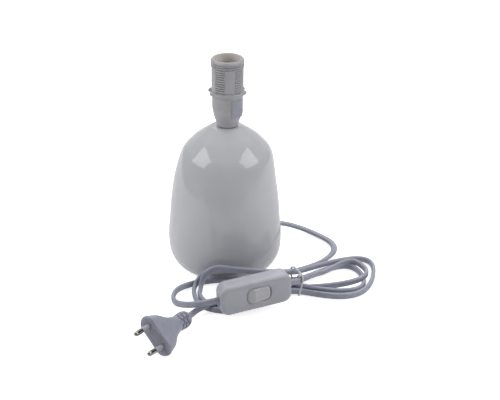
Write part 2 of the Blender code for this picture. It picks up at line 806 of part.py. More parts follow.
posts = {
    "left": (rocker_along - contact_post / 2, rocker_along + contact_post / 2),
    "right": (rocker_along + strip_end, rocker_along + strip_end - contact_post),
}
clamp_top = -cord_depth / 2 - gap
for side, name in ((-1, "left"), (1, "right")):
    x = side * contact_place
    near, far = x - side * contact_length / 2, x + side * contact_length / 2
    post_out, post_in = posts[name]
    post_top = under_strip(max(post_out, post_in))
    outline = [
        (far, contact_bottom), (post_in, contact_bottom), (post_in, post_top), (post_out, post_top),
        (post_out, contact_bottom + contact_strip), (near, contact_bottom + contact_strip),
        (near, contact_top), (far, contact_top),
    ]
    switch_contact = add(f"switch_contact_{name}", loft([
        [(along, edge_y * contact_width / 2, level) for along, level in outline] for edge_y in (-1, 1)
    ]), brass, switch)
    screw_bottom = contact_top - contact_level / 2
    cut(switch_contact, add(
        f"contact_hole_{name}", rod(switch_screw_radius + gap, screw_bottom, contact_top + overrun),
        brass, switch, (x, 0, 0),
    ))
    head_bottom = contact_top + gap
    add(f"switch_terminal_{name}", spun([
        (0, head_bottom + switch_screw_head_height),
        (switch_screw_head, head_bottom + switch_screw_head_height),
        (switch_screw_head, head_bottom), (switch_screw_radius, head_bottom),
        (switch_screw_radius, screw_bottom + gap), (0, screw_bottom + gap),
    ], small_steps), plated, switch, (x, 0, 0))
    clamp_size = clamp_length, clamp_width, clamp_top - contact_bottom
    add(f"cord_clamp_{name}", block(
        clamp_size, (side * clamp_place, 0, (clamp_top + contact_bottom) / 2),
    ), switch_white, switch)

# Bosses of both halves, then the screws through them from the back
boss_places = {side: (side * cover_screw_along, cover_screw_place, 0) for side in (-1, 1)}
for side, place in boss_places.items():
    for target, sort, sign in ((switch_cover, "cover", 1), (switch_base, "base", -1)):
        ends = sorted((sign * gap, sign * (half_depth - switch_wall / 2)))
        boss = add(f"{sort}_boss_{side + 1}", rod(cover_boss_radius, *ends), switch_white, switch, place)
        cut(target, boss, "UNION")
recess = switch_screw_head_height + gap - half_depth
hole_radius = switch_screw_radius + gap
head_room = switch_screw_head + gap
for side, name in ((-1, "left"), (1, "right")):
    place = boss_places[side]
    for target, sort in ((switch_cover, "cover"), (switch_base, "base")):
        cut(target, add(f"{sort}_hole_{name}", spun([
            (0, cover_screw_level + gap), (hole_radius, cover_screw_level + gap), (hole_radius, recess),
            (head_room, recess), (head_room, -half_depth - overrun), (0, -half_depth - overrun),
        ], small_steps), switch_white, switch, place))
    add(f"cover_screw_{name}", spun([
        (0, cover_screw_level), (switch_screw_radius, cover_screw_level),
        (switch_screw_radius, recess - gap),
        (switch_screw_head, recess - gap), (switch_screw_head, -half_depth), (0, -half_depth),
    ], small_steps), plated, switch, place)

# Cores inside the switch: two ends and one that runs through
core_start = switch_length / 2 - cord_in_switch - gap
to_world = Matrix.Translation(switch_middle) @ switch_turn


def in_switch(points):
    return [to_world @ Vector(point) for point in points]


screw_top = contact_top + gap + switch_screw_head_height
for side, name, look in ((-1, "left", core_brown), (1, "right", core_brown)):
    stations = [
        (Vector((side * core_start, core_radius * 1.6, 0)), Vector((-side * contact_length / 2, 0, 0))),
        (
            Vector((side * contact_place, 0, screw_top + gap + core_radius)),
            Vector((-side * contact_length / 2, 0, 0)),
        ),
    ]
    tube(f"switch_core_{name}", in_switch(spaced(bezier_points(stations), 6)), core_radius, 1, look)
stations = [
    (Vector((-core_start, -core_radius * 1.6, 0)), Vector((contact_length, 0, 0))),
    (Vector((0, -core_lane, contact_top)), Vector((contact_length, 0, 0))),
    (Vector((core_start, -core_radius * 1.6, 0)), Vector((contact_length, 0, 0))),
]
tube("switch_core_through", in_switch(spaced(bezier_points(stations), 13)), core_radius, 1, core_blue)

# Plug: X across its width, Y through its thickness, Z along the pins
heading = Vector((
    math.cos(plug_yaw) * math.cos(plug_lift), math.sin(plug_yaw) * math.cos(plug_lift), math.sin(plug_lift),
))
level_side = Vector((-math.sin(plug_yaw), math.cos(plug_yaw), 0))
raised_side = heading.cross(level_side)
wide = level_side * math.cos(plug_roll) + raised_side * math.sin(plug_roll)
plug_turn = Matrix((wide, heading.cross(wide), heading)).transposed().to_4x4()
plug = empty("plug", plug_face, plug_turn)


def plug_ring(level, width, thickness, roundness, steps=24):
    # From a long rectangle with cut corners at the face to an oval at the tail
    points = []
    half_width, half_thickness = width / 2, thickness / 2
    corner_x = half_width * plug_corner_shares[0]
    corner_y = half_thickness * plug_corner_shares[1]
    for i in range(steps):
        angle = math.tau * (i + 0.5) / steps
        oval = Vector((math.cos(angle) * half_width, math.sin(angle) * half_thickness))
        across, up = abs(oval.x) / oval.length, abs(oval.y) / oval.length
        slanted = half_width / corner_x + half_thickness / corner_y - 1
        slanted /= across / corner_x + up / corner_y
        reach = min(half_width / across, half_thickness / up, slanted)
        point = (oval.normalized() * reach).lerp(oval, roundness)
        points.append((point.x, point.y, level))
    return points


rings = []
for level, width, thickness, roundness in plug_sections:
    rings.append(plug_ring(-level * plug_length, width * plug_width, thickness * plug_thickness, roundness))
plug_body = add("plug_body", loft(rings[::-1]), plug_vinyl, plug)
carrier_corner = carrier_thickness * carrier_corner_share
pocket = add("carrier_pocket", loft([
    rounded(carrier_width + 2 * gap, carrier_thickness + 2 * gap, carrier_corner + gap, level)
    for level in (-carrier_depth - gap, overrun)
]), plug_vinyl, plug)
cut(plug_body, pocket)
for i, share in enumerate(groove_shares):
    groove = add(f"tail_groove_{i}", ring(
        tail_radius - groove_depth, tail_radius * 2,
        -(share + groove_half_share) * plug_length, -(share - groove_half_share) * plug_length,
    ), plug_vinyl, plug)
    cut(plug_body, groove)
plug_carrier = add("plug_carrier", loft([
    rounded(carrier_width, carrier_thickness, carrier_corner, level) for level in (-carrier_depth, -gap)
]), plug_vinyl, plug)
pin_lean = math.atan((pin_spacing - pin_tip_spacing) / 2 / pin_length)
tip_edge = plug_pin_radius / 3
for side, name in ((-1, "left"), (1, "right")):
    pin_frame = empty(
        f"pin_frame_{name}", (side * pin_spacing / 2, 0, 0),
        Matrix.Rotation(-side * pin_lean, 4, "Y"), plug,
    )
    hole = add(
        f"pin_socket_{name}", rod(plug_pin_radius + gap, -pin_root - gap, overrun), plug_vinyl, pin_frame,
    )
    cut(plug_carrier, hole)
    add(f"plug_pin_{name}", spun([
        (0, pin_length), (plug_pin_radius - tip_edge, pin_length), (plug_pin_radius, pin_length - tip_edge),
        (plug_pin_radius, sleeve_length + gap), (pin_shank_radius, sleeve_length + gap),
        (pin_shank_radius, -pin_root), (0, -pin_root),
    ], small_steps), chrome, pin_frame)
    add(f"pin_sleeve_{name}", ring(sleeve_bore, plug_pin_radius, -pin_root, sleeve_length, small_steps),
        sleeve_plastic, pin_frame)

# Cord: a free run to the tie, the two hanks, and the run to the plug
exit_level = Vector((0, 0, exit_height))
bush_stations = [
    (exit_way * exit_start + exit_level, exit_way * (bush_outer_end - exit_start) / 3),
    (exit_way * (bush_outer_end + 2 * gap) + exit_level, exit_way * exit_pull),
]
switch_way = to_world.to_3x3() @ Vector((1, 0, 0))
right_end = to_world @ Vector((switch_length / 2, 0, 0)), -switch_way * switch_pull_in
left_end = to_world @ Vector((-switch_length / 2, 0, 0)), -switch_way * switch_pull_out
plug_tail = Vector(plug_face) - heading * plug_length
lamp_hank = [lamp_run[-1]] + left_lobe_outer + right_lobe_outer + left_lobe_inner + right_lobe_inner
lamp_hank.append(right_end)
plug_hank = [left_end] + plug_side_left_lobe + plug_side_right_lobe
plug_run = [plug_hank[-1]] + plug_run + [(plug_tail, heading * plug_pull)]
tube("cord_lamp_run", laid(
    bush_stations + lamp_run, cord_radius, run_points, 0, gap / 2,
), cord_radius, 2, cord_vinyl)
lamp_points = laid(lamp_hank, cord_radius, 2 * loop_points, gap / 2, -cord_in_switch)
tube("cord_lamp_hank", lamp_points, cord_radius, 1, cord_vinyl)
plug_points = laid(plug_hank, cord_radius, loop_points + 4, -cord_in_switch, gap / 2)
tube("cord_plug_hank", plug_points, cord_radius, 1, cord_vinyl)
tube("cord_plug_run", laid(
    plug_run, cord_radius, plug_run_points, gap / 2, gap,
), cord_radius, 2, cord_vinyl)
for name, points in (("lamp", lamp_points), ("plug", plug_points)):
    millimetres = 1000 * least_gap(points, cord_radius, 6 * cord_radius)
    print(f"{name} side hank, least gap to itself: {millimetres:.2f} mm")

# Tie: one wire round all the strands that cross its plane, its ends twisted together
tie_middle = Vector(tie_place)
tie_normal = Vector((math.cos(tie_heading), math.sin(tie_heading), 0))
tie_across = Vector((-math.sin(tie_heading), math.cos(tie_heading), 0))
strands = []
for stations in (bush_stations + lamp_run, lamp_hank, plug_hank, plug_run):
    points = bezier_points(stations)
    for start, end in zip(points, points[1:]):
        before, after = (start - tie_middle).dot(tie_normal), (end - tie_middle).dot(tie_normal)
        if before * after <= 0 and before != after and (start - tie_middle).length < tie_reach:
            slant = abs((end - start).normalized().dot(tie_normal))
            strands.append((start.lerp(end, before / (before - after)) - tie_middle, cord_radius / slant))


def round_strands(angle):
    # Where the wire lies in one direction from the middle of the strands
    outward = tie_across * math.cos(angle) + Vector((0, 0, math.sin(angle)))
    spot, room = max(strands, key=lambda strand: strand[0].dot(outward) + strand[1])
    return tie_middle + spot + outward * (room + tie_play + tie_wire)


twist_radius = tie_wire * 1.5
opening_angle = twist_radius / (round_strands(tie_knot) - tie_middle).length
turn_of_wire = [
    round_strands(tie_knot + opening_angle + (math.tau - 2 * opening_angle) * i / tie_points)
    for i in range(tie_points + 1)
]
tail_root = (turn_of_wire[0] + turn_of_wire[-1]) / 2
apart = (turn_of_wire[0] - turn_of_wire[-1]).normalized()
tail_way = (Vector((0, 0, math.sin(tie_knot))) + tie_across * math.cos(tie_knot) - tie_normal).normalized()
sideways = tail_way.cross(apart).normalized()
tails = []
for side in (1, -1):
    tail = []
    for i in range(1, tail_points + 1):
        angle = tail_turn * i
        swing = apart * math.cos(angle) + sideways * math.sin(angle)
        tail.append(tail_root + tail_way * tail_length * i / tail_points + swing * side * twist_radius)
    tails.append(tail)
tube("cord_tie", tails[0][::-1] + turn_of_wire + tails[1], tie_wire, 1, wire)
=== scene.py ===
import math

import bpy
from mathutils import Matrix, Vector


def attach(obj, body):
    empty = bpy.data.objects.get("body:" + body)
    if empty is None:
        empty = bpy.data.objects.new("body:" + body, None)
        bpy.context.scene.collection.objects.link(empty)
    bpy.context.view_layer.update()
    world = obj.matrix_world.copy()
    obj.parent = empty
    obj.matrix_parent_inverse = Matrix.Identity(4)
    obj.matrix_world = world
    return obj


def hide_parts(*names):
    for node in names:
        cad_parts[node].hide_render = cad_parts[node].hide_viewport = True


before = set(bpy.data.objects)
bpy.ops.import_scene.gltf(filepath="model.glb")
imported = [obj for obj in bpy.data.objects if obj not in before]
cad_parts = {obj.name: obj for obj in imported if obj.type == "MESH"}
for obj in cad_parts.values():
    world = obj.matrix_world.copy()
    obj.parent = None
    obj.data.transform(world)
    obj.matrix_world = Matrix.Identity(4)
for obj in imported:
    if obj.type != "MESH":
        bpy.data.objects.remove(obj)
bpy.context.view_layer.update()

print("stage: frame loaded,", len(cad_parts), "nodes")


# Small helpers for modelling

mergeGap = 0.000002


def clearSelection():
    if bpy.context.object and bpy.context.object.mode != "OBJECT":
        bpy.ops.object.mode_set(mode="OBJECT")
    bpy.ops.object.select_all(action="DESELECT")


def pick(piece):
    clearSelection()
    piece.select_set(True)
    bpy.context.view_layer.objects.active = piece


def startEditing(piece):
    pick(piece)
    bpy.ops.object.mode_set(mode="EDIT")
    bpy.ops.mesh.select_all(action="SELECT")


def stopEditing():
    bpy.ops.object.mode_set(mode="OBJECT")


def settle(piece, matrix=None, angle=32):
    # Puts the place into the mesh, as on the CAD nodes, and smooths the shading
    pick(piece)
    if matrix is not None:
        piece.matrix_world = matrix
    bpy.ops.object.transform_apply()
    bpy.ops.object.shade_smooth_by_angle(angle=math.radians(angle))
    return piece


def outward(piece):
    startEditing(piece)
    bpy.ops.mesh.remove_doubles(threshold=mergeGap)
    bpy.ops.mesh.normals_make_consistent(inside=False)
    stopEditing()


def drawOutline(name, points):
    # A small plane is merged to one vertex, which is extruded from point to point; the points are (x, z)
    clearSelection()
    bpy.ops.mesh.primitive_plane_add(size=0.002, location=(points[0][0], 0, points[0][1]))
    piece = bpy.context.object
    piece.name = name
    bpy.ops.object.transform_apply()
    startEditing(piece)
    bpy.ops.mesh.merge(type="CENTER")
    for (x, z), (nextX, nextZ) in zip(points, points[1:]):
        bpy.ops.mesh.extrude_region_move(TRANSFORM_OT_translate={"value": (nextX - x, 0, nextZ - z)})
    bpy.ops.mesh.select_all(action="SELECT")
    return piece


def turned(name, points, segments=96):
    # Points are (radius, height); an outline that ends where it starts makes a closed wall
    piece = drawOutline(name, points)
    bpy.ops.mesh.remove_doubles(threshold=mergeGap)
    bpy.ops.mesh.spin(steps=segments, angle=math.tau, center=(0, 0, 0), axis=(0, 0, 1))
    stopEditing()
    outward(piece)
    return piece


def lofted(name, rings):
    # A circle is extruded once for each ring, then each ring takes its own outline
    count = len(rings[0])
    step = 0.001
    clearSelection()
    bpy.ops.mesh.primitive_circle_add(vertices=count, radius=step)
    piece = bpy.context.object
    piece.name = name
    startEditing(piece)
    for _ in rings[1:]:
        bpy.ops.mesh.extrude_region_move(TRANSFORM_OT_translate={"value": (0, 0, step)})
    bpy.ops.mesh.select_all(action="DESELECT")
    bpy.ops.mesh.select_non_manifold()
    bpy.ops.mesh.fill_holes(sides=0)
    stopEditing()
    for vertex in piece.data.vertices:
        ring = round(vertex.co.z / step)
        spot = round(math.atan2(vertex.co.y, vertex.co.x) / math.tau * count) % count
        vertex.co = rings[ring][spot]
    outward(piece)
    return piece


def blockPiece(name, size, middle=(0, 0, 0), corner=0, segments=8):
    # A box with its upright edges rounded
    clearSelection()
    bpy.ops.mesh.primitive_cube_add(size=1, location=middle, scale=size)
    piece = bpy.context.object
    piece.name = name
    bpy.ops.object.transform_apply()
    if corner:
        bevelEdges(piece, corner, segments, lambda a, b: abs((a - b).normalized().z) > 0.9)
    return piece


def roundedPlan(halfWide, halfTall, corner, steps=9):
    # Points of a rounded rectangle, anticlockwise from its right side
    points = []
    for quarter, (x, y) in enumerate([(1, 1), (-1, 1), (-1, -1), (1, -1)]):
        for i in range(steps):
            turn = (quarter + i / (steps - 1)) * math.pi / 2
            acrossCorner, upCorner = corner * math.cos(turn), corner * math.sin(turn)
            points.append((x * (halfWide - corner) + acrossCorner, y * (halfTall - corner) + upCorner))
    return points


def bevelEdges(piece, width, segments, chosen):
    # Bevels the edges whose two ends pass the test
    startEditing(piece)
    bpy.ops.mesh.select_all(action="DESELECT")
    bpy.ops.mesh.select_mode(type="EDGE")
    stopEditing()
    for edge in piece.data.edges:
        first, last = (piece.data.vertices[i].co for i in edge.vertices)
        edge.select = chosen(first, last)
    bpy.ops.object.mode_set(mode="EDIT")
    bpy.ops.mesh.bevel(offset=width, segments=segments, profile=0.5)
    bpy.ops.mesh.select_mode(type="VERT")
    stopEditing()


def onLevel(level, slack=0.00001):
    # A test for bevelEdges: both ends are at this height
    return lambda a, b: abs(a.z - level) < slack and abs(b.z - level) < slack


def useModifier(piece, kind, **settings):
    pick(piece)
    modifier = piece.modifiers.new(kind.lower(), kind)
    for key, value in settings.items():
        setattr(modifier, key, value)
    bpy.ops.object.modifier_apply(modifier=modifier.name)


def cutAway(piece, cutter, operation="DIFFERENCE"):
    useModifier(piece, "BOOLEAN", operation=operation, object=cutter, solver="EXACT")
    bpy.data.objects.remove(cutter)


def smoothed(points, steps):
    # A curve through all the points, close to the straight way between them
    fine = []
    last = len(points) - 1
    for i in range(last):
        around = [Vector(points[min(max(j, 0), last)]) for j in range(i - 1, i + 3)]
        for k in range(steps):
            t = k / steps
            fine.append(0.5 * (
                2 * around[1] + (around[2] - around[0]) * t
                + (2 * around[0] - 5 * around[1] + 4 * around[2] - around[3]) * t * t
                + (3 * around[1] - around[0] - 3 * around[2] + around[3]) * t ** 3
            ))
    return [tuple(point) for point in fine] + [tuple(points[last])]


def moved(x=0, y=0, z=0):
    return Matrix.Translation((x, y, z))


def rotated(degrees, axis):
    return Matrix.Rotation(math.radians(degrees), 4, axis)


def placed(name, data):
    made = bpy.data.objects.new(name, data)
    bpy.context.scene.collection.objects.link(made)
    return made


def ovalRing(width, depth, count):
    # Points round a flat oval that is wide along X
    half, side = depth / 2, (width - depth) / 2
    angles = [math.tau * (i + 0.5) / count for i in range(count)]
    ways = [(math.cos(angle), math.sin(angle)) for angle in angles]
    return [(math.copysign(side, x) + half * x, half * y) for x, y in ways]


def valueAt(table, place):
    # Each row is a place and its value; the end values hold beyond the table
    for (low, first), (high, second) in zip(table, table[1:]):
        if place <= high:
            return first + (second - first) * max(place - low, 0) / (high - low)
    return table[-1][1]


def rampUp(low, high, value):
    share = min(max((value - low) / (high - low), 0), 1)
    return share * share * (3 - 2 * share)


# Materials: a sum or product of sockets adds a Math node

class Flow:
    def __init__(self, finish, socket):
        self.finish = finish
        self.socket = socket

    def __add__(self, other):
        return self.finish.maths("ADD", self, other)

    def __sub__(self, other):
        return self.finish.maths("SUBTRACT", self, other)

    def __rsub__(self, other):
        return self.finish.maths("SUBTRACT", other, self)

    def __mul__(self, other):
        return self.finish.maths("MULTIPLY", self, other)

    __radd__ = __add__
    __rmul__ = __mul__


class Finish:
    def __init__(self, name, tree=None):
        if tree is None:
            self.material = bpy.data.materials.new(name)
            self.material.use_nodes = True
            tree = self.material.node_tree
        tree.nodes.clear()
        self.tree = tree

    def node(self, kind, settings=None, sockets=None, output=0):
        made = self.tree.nodes.new(kind)
        for key, value in (settings or {}).items():
            setattr(made, key, value)
        for key, value in (sockets or {}).items():
            if isinstance(value, Flow):
                self.tree.links.new(value.socket, made.inputs[key])
            else:
                made.inputs[key].default_value = value
        return Flow(self, made.outputs[output]) if made.outputs else None

    def maths(self, operation, *values):
        return self.node("ShaderNodeMath", {"operation": operation}, dict(enumerate(values)))

    def blend(self, share, first, second):
        return self.node("ShaderNodeMixShader", sockets={0: share, 1: first, 2: second})

    def light(self, kind, strength):
        return self.node(kind, sockets={"Color": (1, 1, 1, 1), "Strength": strength})

    def place(self, output="Object"):
        return self.node("ShaderNodeTexCoord", output=output)

    def axes(self, way):
        self.node("ShaderNodeSeparateXYZ", sockets={"Vector": way})
        return [Flow(self, output) for output in self.tree.nodes[-1].outputs]

    def grain(self, size, detail=3, stretch=None):
        # Noise whose blots are about so many metres wide
        way = self.place()
        if stretch:
            way = self.node("ShaderNodeMapping", sockets={"Vector": way, "Scale": stretch})
        return self.node("ShaderNodeTexNoise", sockets={"Vector": way, "Scale": 1 / size, "Detail": detail})

    def between(self, share, low, high):
        return self.node("ShaderNodeMapRange", {"clamp": True}, {
            "Value": share, "From Min": low, "From Max": high, "To Min": 0.0, "To Max": 1.0,
        })

    def mixed(self, share, first, second):
        return self.node("ShaderNodeMix", {"data_type": "RGBA"}, {
            0: share, 6: (*first, 1) if isinstance(first, tuple) else first,
            7: (*second, 1) if isinstance(second, tuple) else second,
        }, 2)

    def bump(self, height, depth):
        return self.node("ShaderNodeBump", sockets={"Height": height, "Distance": depth, "Strength": 1.0})

    def close(self, sockets):
        shader = self.node("ShaderNodeBsdfPrincipled", sockets=sockets)
        self.node("ShaderNodeOutputMaterial", sockets={"Surface": shader})
        return self.material


print("stage: helpers ready")

# Camera, as the photograph was taken

shot = {
    "place": (0.0215, -0.8895, 0.5068), "pitch": 63.17, "roll": 0.57, "lens": 84.456, "sensor": 36.0,
    "clip": (0.01, 50.0),
}
cameraData = bpy.data.cameras.new("shotCamera")
cameraData.lens = shot["lens"]
cameraData.sensor_width = shot["sensor"]
cameraData.clip_start, cameraData.clip_end = shot["clip"]
camera = placed("shotCamera", cameraData)
camera.matrix_world = moved(*shot["place"]) @ rotated(shot["pitch"], "X") @ rotated(shot["roll"], "Z")
bpy.context.scene.camera = camera
bpy.context.scene.view_settings.view_transform = "Standard"


# Floor, lamps and the light all round

studio = {
    "floorSize": 12.0, "floorTone": 0.75, "floorGlow": 0.76, "bounce": 0.05, "tableSide": 0.46,
    "tableFront": -0.33, "tableSpread": 0.3, "tableEdge": 0.03, "boxSize": (0.62, 0.58), "boxAway": 0.85,
    "boxPower": 3.7, "boxRise": (31.6, 34.7), "boxTurns": (-74.0, 69.0), "aim": (0.0, 0.0, 0.10),
    "roomTone": 0.03, "backTone": 0.4, "backEdge": (0.70, 0.80), "topTone": 2.5, "topLean": (0.5, 0.85),
    "topEdge": (0.72, 0.97), "tableTone": 0.86, "under": 0.0002,
}


def buildStage():
    clearSelection()
    bpy.ops.mesh.primitive_plane_add(size=studio["floorSize"], location=(0, 0, -studio["under"]))
    floor = bpy.context.object
    floor.name = "floor"
    floor.data.materials.append(floorFinish())
    for turn, rise, name in zip(studio["boxTurns"], studio["boxRise"], ("leftBox", "rightBox")):
        lamp = bpy.data.lights.new(name, "AREA")
        lamp.shape = "RECTANGLE"
        lamp.size, lamp.size_y = studio["boxSize"]
        lamp.energy = studio["boxPower"]
        holder = placed(name, lamp)
        side, rise = math.radians(turn), math.radians(rise)
        away = Vector((math.sin(side) * math.cos(rise), -math.cos(side) * math.cos(rise), math.sin(rise)))
        holder.location = Vector(studio["aim"]) + away * studio["boxAway"]
        holder.rotation_euler = away.to_track_quat("Z", "Y").to_euler()


def floorFinish():
    # The camera sees a pale floor; a mirror sees a bright table that ends in front and at the sides
    look = Finish("floorFinish")
    seen, mirrored, through = (
        look.node("ShaderNodeLightPath", output=f"Is {ray} Ray")
        for ray in ("Camera", "Glossy", "Transmission")
    )
    side, back, _ = look.axes(look.place())
    side = look.maths("ABSOLUTE", side)
    edge, front = studio["tableEdge"], studio["tableFront"]
    onTable = look.between(studio["tableSide"] + back * studio["tableSpread"] - side, -edge, edge)
    onTable = onTable * look.between(back, front - edge, front + edge)
    tone = studio["floorTone"]
    matt = look.node("ShaderNodeBsdfDiffuse", sockets={"Color": (tone, tone, tone, 1)})
    glow, bounce, white, dark = (
        look.light("ShaderNodeEmission", strength)
        for strength in (studio["floorGlow"], studio["bounce"], studio["tableTone"], studio["roomTone"])
    )
    forCamera = look.node("ShaderNodeAddShader", sockets={0: matt, 1: glow})
    forLight = look.node("ShaderNodeAddShader", sockets={0: matt, 1: bounce})
    reflected = look.blend(onTable, dark, white)
    plain = look.blend(seen, forLight, forCamera)
    final = look.blend(look.maths("MAXIMUM", mirrored, through), plain, reflected)
    look.node("ShaderNodeOutputMaterial", sockets={"Surface": final})
    return look.material


def buildWorld():
    # A dim room in front, a bright backdrop behind and a soft ceiling; white where the camera sees it
    world = bpy.data.worlds.new("studioWorld")
    bpy.context.scene.world = world
    world.use_nodes = True
    look = Finish("studioWorld", world.node_tree)
    seen = look.node("ShaderNodeLightPath", output="Is Camera Ray")
    _, ahead, up = look.axes(look.place("Generated"))
    tone = look.between(ahead, *studio["backEdge"]) * studio["backTone"] + studio["roomTone"]
    leanAhead, leanUp = studio["topLean"]
    tone = tone + look.between(up * leanUp + ahead * leanAhead, *studio["topEdge"]) * studio["topTone"]
    room, white = look.light("ShaderNodeBackground", tone), look.light("ShaderNodeBackground", 1.0)
    look.node("ShaderNodeOutputWorld", sockets={"Surface": look.blend(seen, room, white)})


buildStage()
buildWorld()
print("stage: camera, floor and lamps placed")


# Finishes of the lamp

# Colour and deeper colour, width of their drift, roughness and its drift, width and depth of the fine grain
plasticKeys = ("colour", "deep", "drift", "rough", "roughDrift", "grain", "depth")
plastics = {
    "glaze": ((0.56, 0.566, 0.596), (0.525, 0.531, 0.561), 0.05, 0.07, 0.03, 0.012, 0.00004),
    "holderWhite": ((0.432, 0.423, 0.445), (0.4, 0.391, 0.412), 0.006, 0.42, 0.08, 0.0005, 0.000006),
    "sticker": ((0.361, 0.37, 0.43), (0.31, 0.318, 0.378), 0.0012, 0.5, 0.1, 0.0003, 0.00001),
    "switchWhite": ((0.437, 0.437, 0.49), (0.403, 0.403, 0.456), 0.01, 0.36, 0.08, 0.0005, 0.00001),
    "rockerWhite": ((0.485, 0.485, 0.513), (0.45, 0.45, 0.478), 0.004, 0.3, 0.06, 0.0006, 0.000004),
    "cordVinyl": ((0.344, 0.353, 0.428), (0.298, 0.307, 0.381), 0.008, 0.42, 0.1, 0.0008, 0.00002),
    "plugVinyl": ((0.328, 0.334, 0.408), (0.29, 0.296, 0.366), 0.006, 0.45, 0.08, 0.0006, 0.000015),
    "sleeveGrey": ((0.346, 0.353, 0.382), (0.31, 0.317, 0.346), 0.002, 0.4, 0.06, 0.0005, 0.000005),
    "tieWhite": ((0.66, 0.665, 0.71), (0.56, 0.565, 0.61), 0.002, 0.4, 0.1, 0.0006, 0.00001),
    "bushRubber": ((0.3, 0.31, 0.34), (0.24, 0.25, 0.28), 0.002, 0.7, 0.1, 0.0004, 0.00001),
    "padFoam": ((0.12, 0.12, 0.13), (0.06, 0.06, 0.065), 0.0012, 0.95, 0.05, 0.0008, 0.0002),
    "baseCeramic": ((0.68, 0.66, 0.61), (0.58, 0.55, 0.5), 0.003, 0.65, 0.1, 0.0005, 0.00003),
    "coreBrown": ((0.16, 0.07, 0.03), (0.12, 0.05, 0.02), 0.002, 0.45, 0.08, 0.0005, 0.000005),
    "coreBlue": ((0.05, 0.12, 0.4), (0.04, 0.09, 0.32), 0.002, 0.45, 0.08, 0.0005, 0.000005),
}
footRing = {"waver": 0.001, "edge": (0.0022, 0.0030), "colour": (0.50, 0.49, 0.46), "rougher": 0.55}
# Painted highlight inside the lampholder's mouth: its axis offset and radius, the heights over which it fades
# in, and its warm pale colour
mouthPaintedGlow = {"axis": 0.0024, "radius": 0.0112, "edge": (0.150, 0.172), "colour": (0.66, 0.62, 0.585)}
metalKeys = ("colour", "worn", "rough", "line")
metals = {
    "brassMetal": ((0.70, 0.52, 0.26), (0.45, 0.32, 0.15), 0.32, 0.0004),
    "steelMetal": ((0.58, 0.57, 0.55), (0.40, 0.39, 0.36), 0.3, 0.0005),
    "pinMetal": ((0.36, 0.355, 0.35), (0.22, 0.21, 0.20), 0.14, 0.0003),
}
# Shared by the finishes: where drift and worn spots set in, and how spots and brushed lines roughen the metals
wear = {
    "drift": (0.35, 0.7), "spots": 0.004, "spotEdge": (0.5, 0.75), "spotRough": 0.2, "lineRough": 0.1,
    "lineStretch": (1.0, 1.0, 0.12), "lineDepth": 0.00001, "refraction": 1.5,
}


def plasticFinish(name):
    tune = dict(zip(plasticKeys, plastics[name]))
    look = Finish(name)
    drift = look.grain(tune["drift"], 4)
    fine = look.grain(tune["grain"], 2)
    colour = look.mixed(look.between(drift, *wear["drift"]), tune["colour"], tune["deep"])
    rough = tune["rough"] + (fine - 0.5) * tune["roughDrift"]
    if name == "glaze":
        # The foot ring is bare and matt, and its edge wavers
        height = look.axes(look.place())[2]
        bare = 1.0 - look.between(height + (fine - 0.5) * footRing["waver"], *footRing["edge"])
        colour = look.mixed(bare, colour, footRing["colour"])
        rough = rough + bare * footRing["rougher"]
    if name == "holderWhite":
        # Painted light: inside the mouth the plastic is painted warmer and paler, a painted highlight for the
        # light bounced about in it
        side, back, height = look.axes(look.place())
        side = side - mouthPaintedGlow["axis"]
        inside = look.maths("LESS_THAN", side * side + back * back, mouthPaintedGlow["radius"] ** 2)
        inside = inside * look.between(height, *mouthPaintedGlow["edge"])
        colour = look.mixed(inside, colour, mouthPaintedGlow["colour"])
    relief = look.bump(fine, tune["depth"])
    return look.close({"Base Color": colour, "Roughness": rough, "Normal": relief, "IOR": wear["refraction"]})


def metalFinish(name):
    tune = dict(zip(metalKeys, metals[name]))
    look = Finish(name)
    lines = look.grain(tune["line"], 3, wear["lineStretch"])
    spots = look.grain(wear["spots"], 4)
    colour = look.mixed(look.between(spots, *wear["spotEdge"]), tune["colour"], tune["worn"])
    rough = tune["rough"] + (spots - 0.5) * wear["spotRough"] + (lines - 0.5) * wear["lineRough"]
    relief = look.bump(lines, wear["lineDepth"])
    return look.close({"Base Color": colour, "Roughness": rough, "Metallic": 1.0, "Normal": relief})


finishes = {name: plasticFinish(name) for name in plastics}
finishes.update({name: metalFinish(name) for name in metals})


def dress(piece, finish, *nodes, body="lamp"):
    # Gives a finished piece its finish, its body and the nodes that it stands for
    piece.data.materials.clear()
    piece.data.materials.append(finishes[finish])
    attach(piece, body)
    if nodes:
        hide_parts(*nodes)
    return piece


# Small solids that are shown as the CAD made them, each in its finish
keptNodes = {
    "padFoam": ["base_pad"],
    "brassMetal": [
        "nipple_tube", "nipple_nut", "holder_terminal_left", "holder_terminal_right", "centre_contact",
        "rocker_contact", "switch_contact_left", "switch_contact_right",
    ],
    "steelMetal": ["clamp_washer", "rocker_pin", "switch_terminal_left", "switch_terminal_right"],
    "baseCeramic": ["contact_base"],
    "switchWhite": ["cord_clamp_left", "cord_clamp_right"],
    "coreBrown": ["lead_core_right", "switch_core_left", "switch_core_right"],
    "coreBlue": ["lead_core_left", "switch_core_through"],
    "cordVinyl": ["inner_lead"],
}
for finish, nodes in keptNodes.items():
    for node in nodes:
        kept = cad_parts[node]
        kept.data.materials.clear()
        kept.data.materials.append(finishes[finish])
print("stage: finishes made")


# The cord's way, the same stations as in the part's source: a place and the pull of the curve there

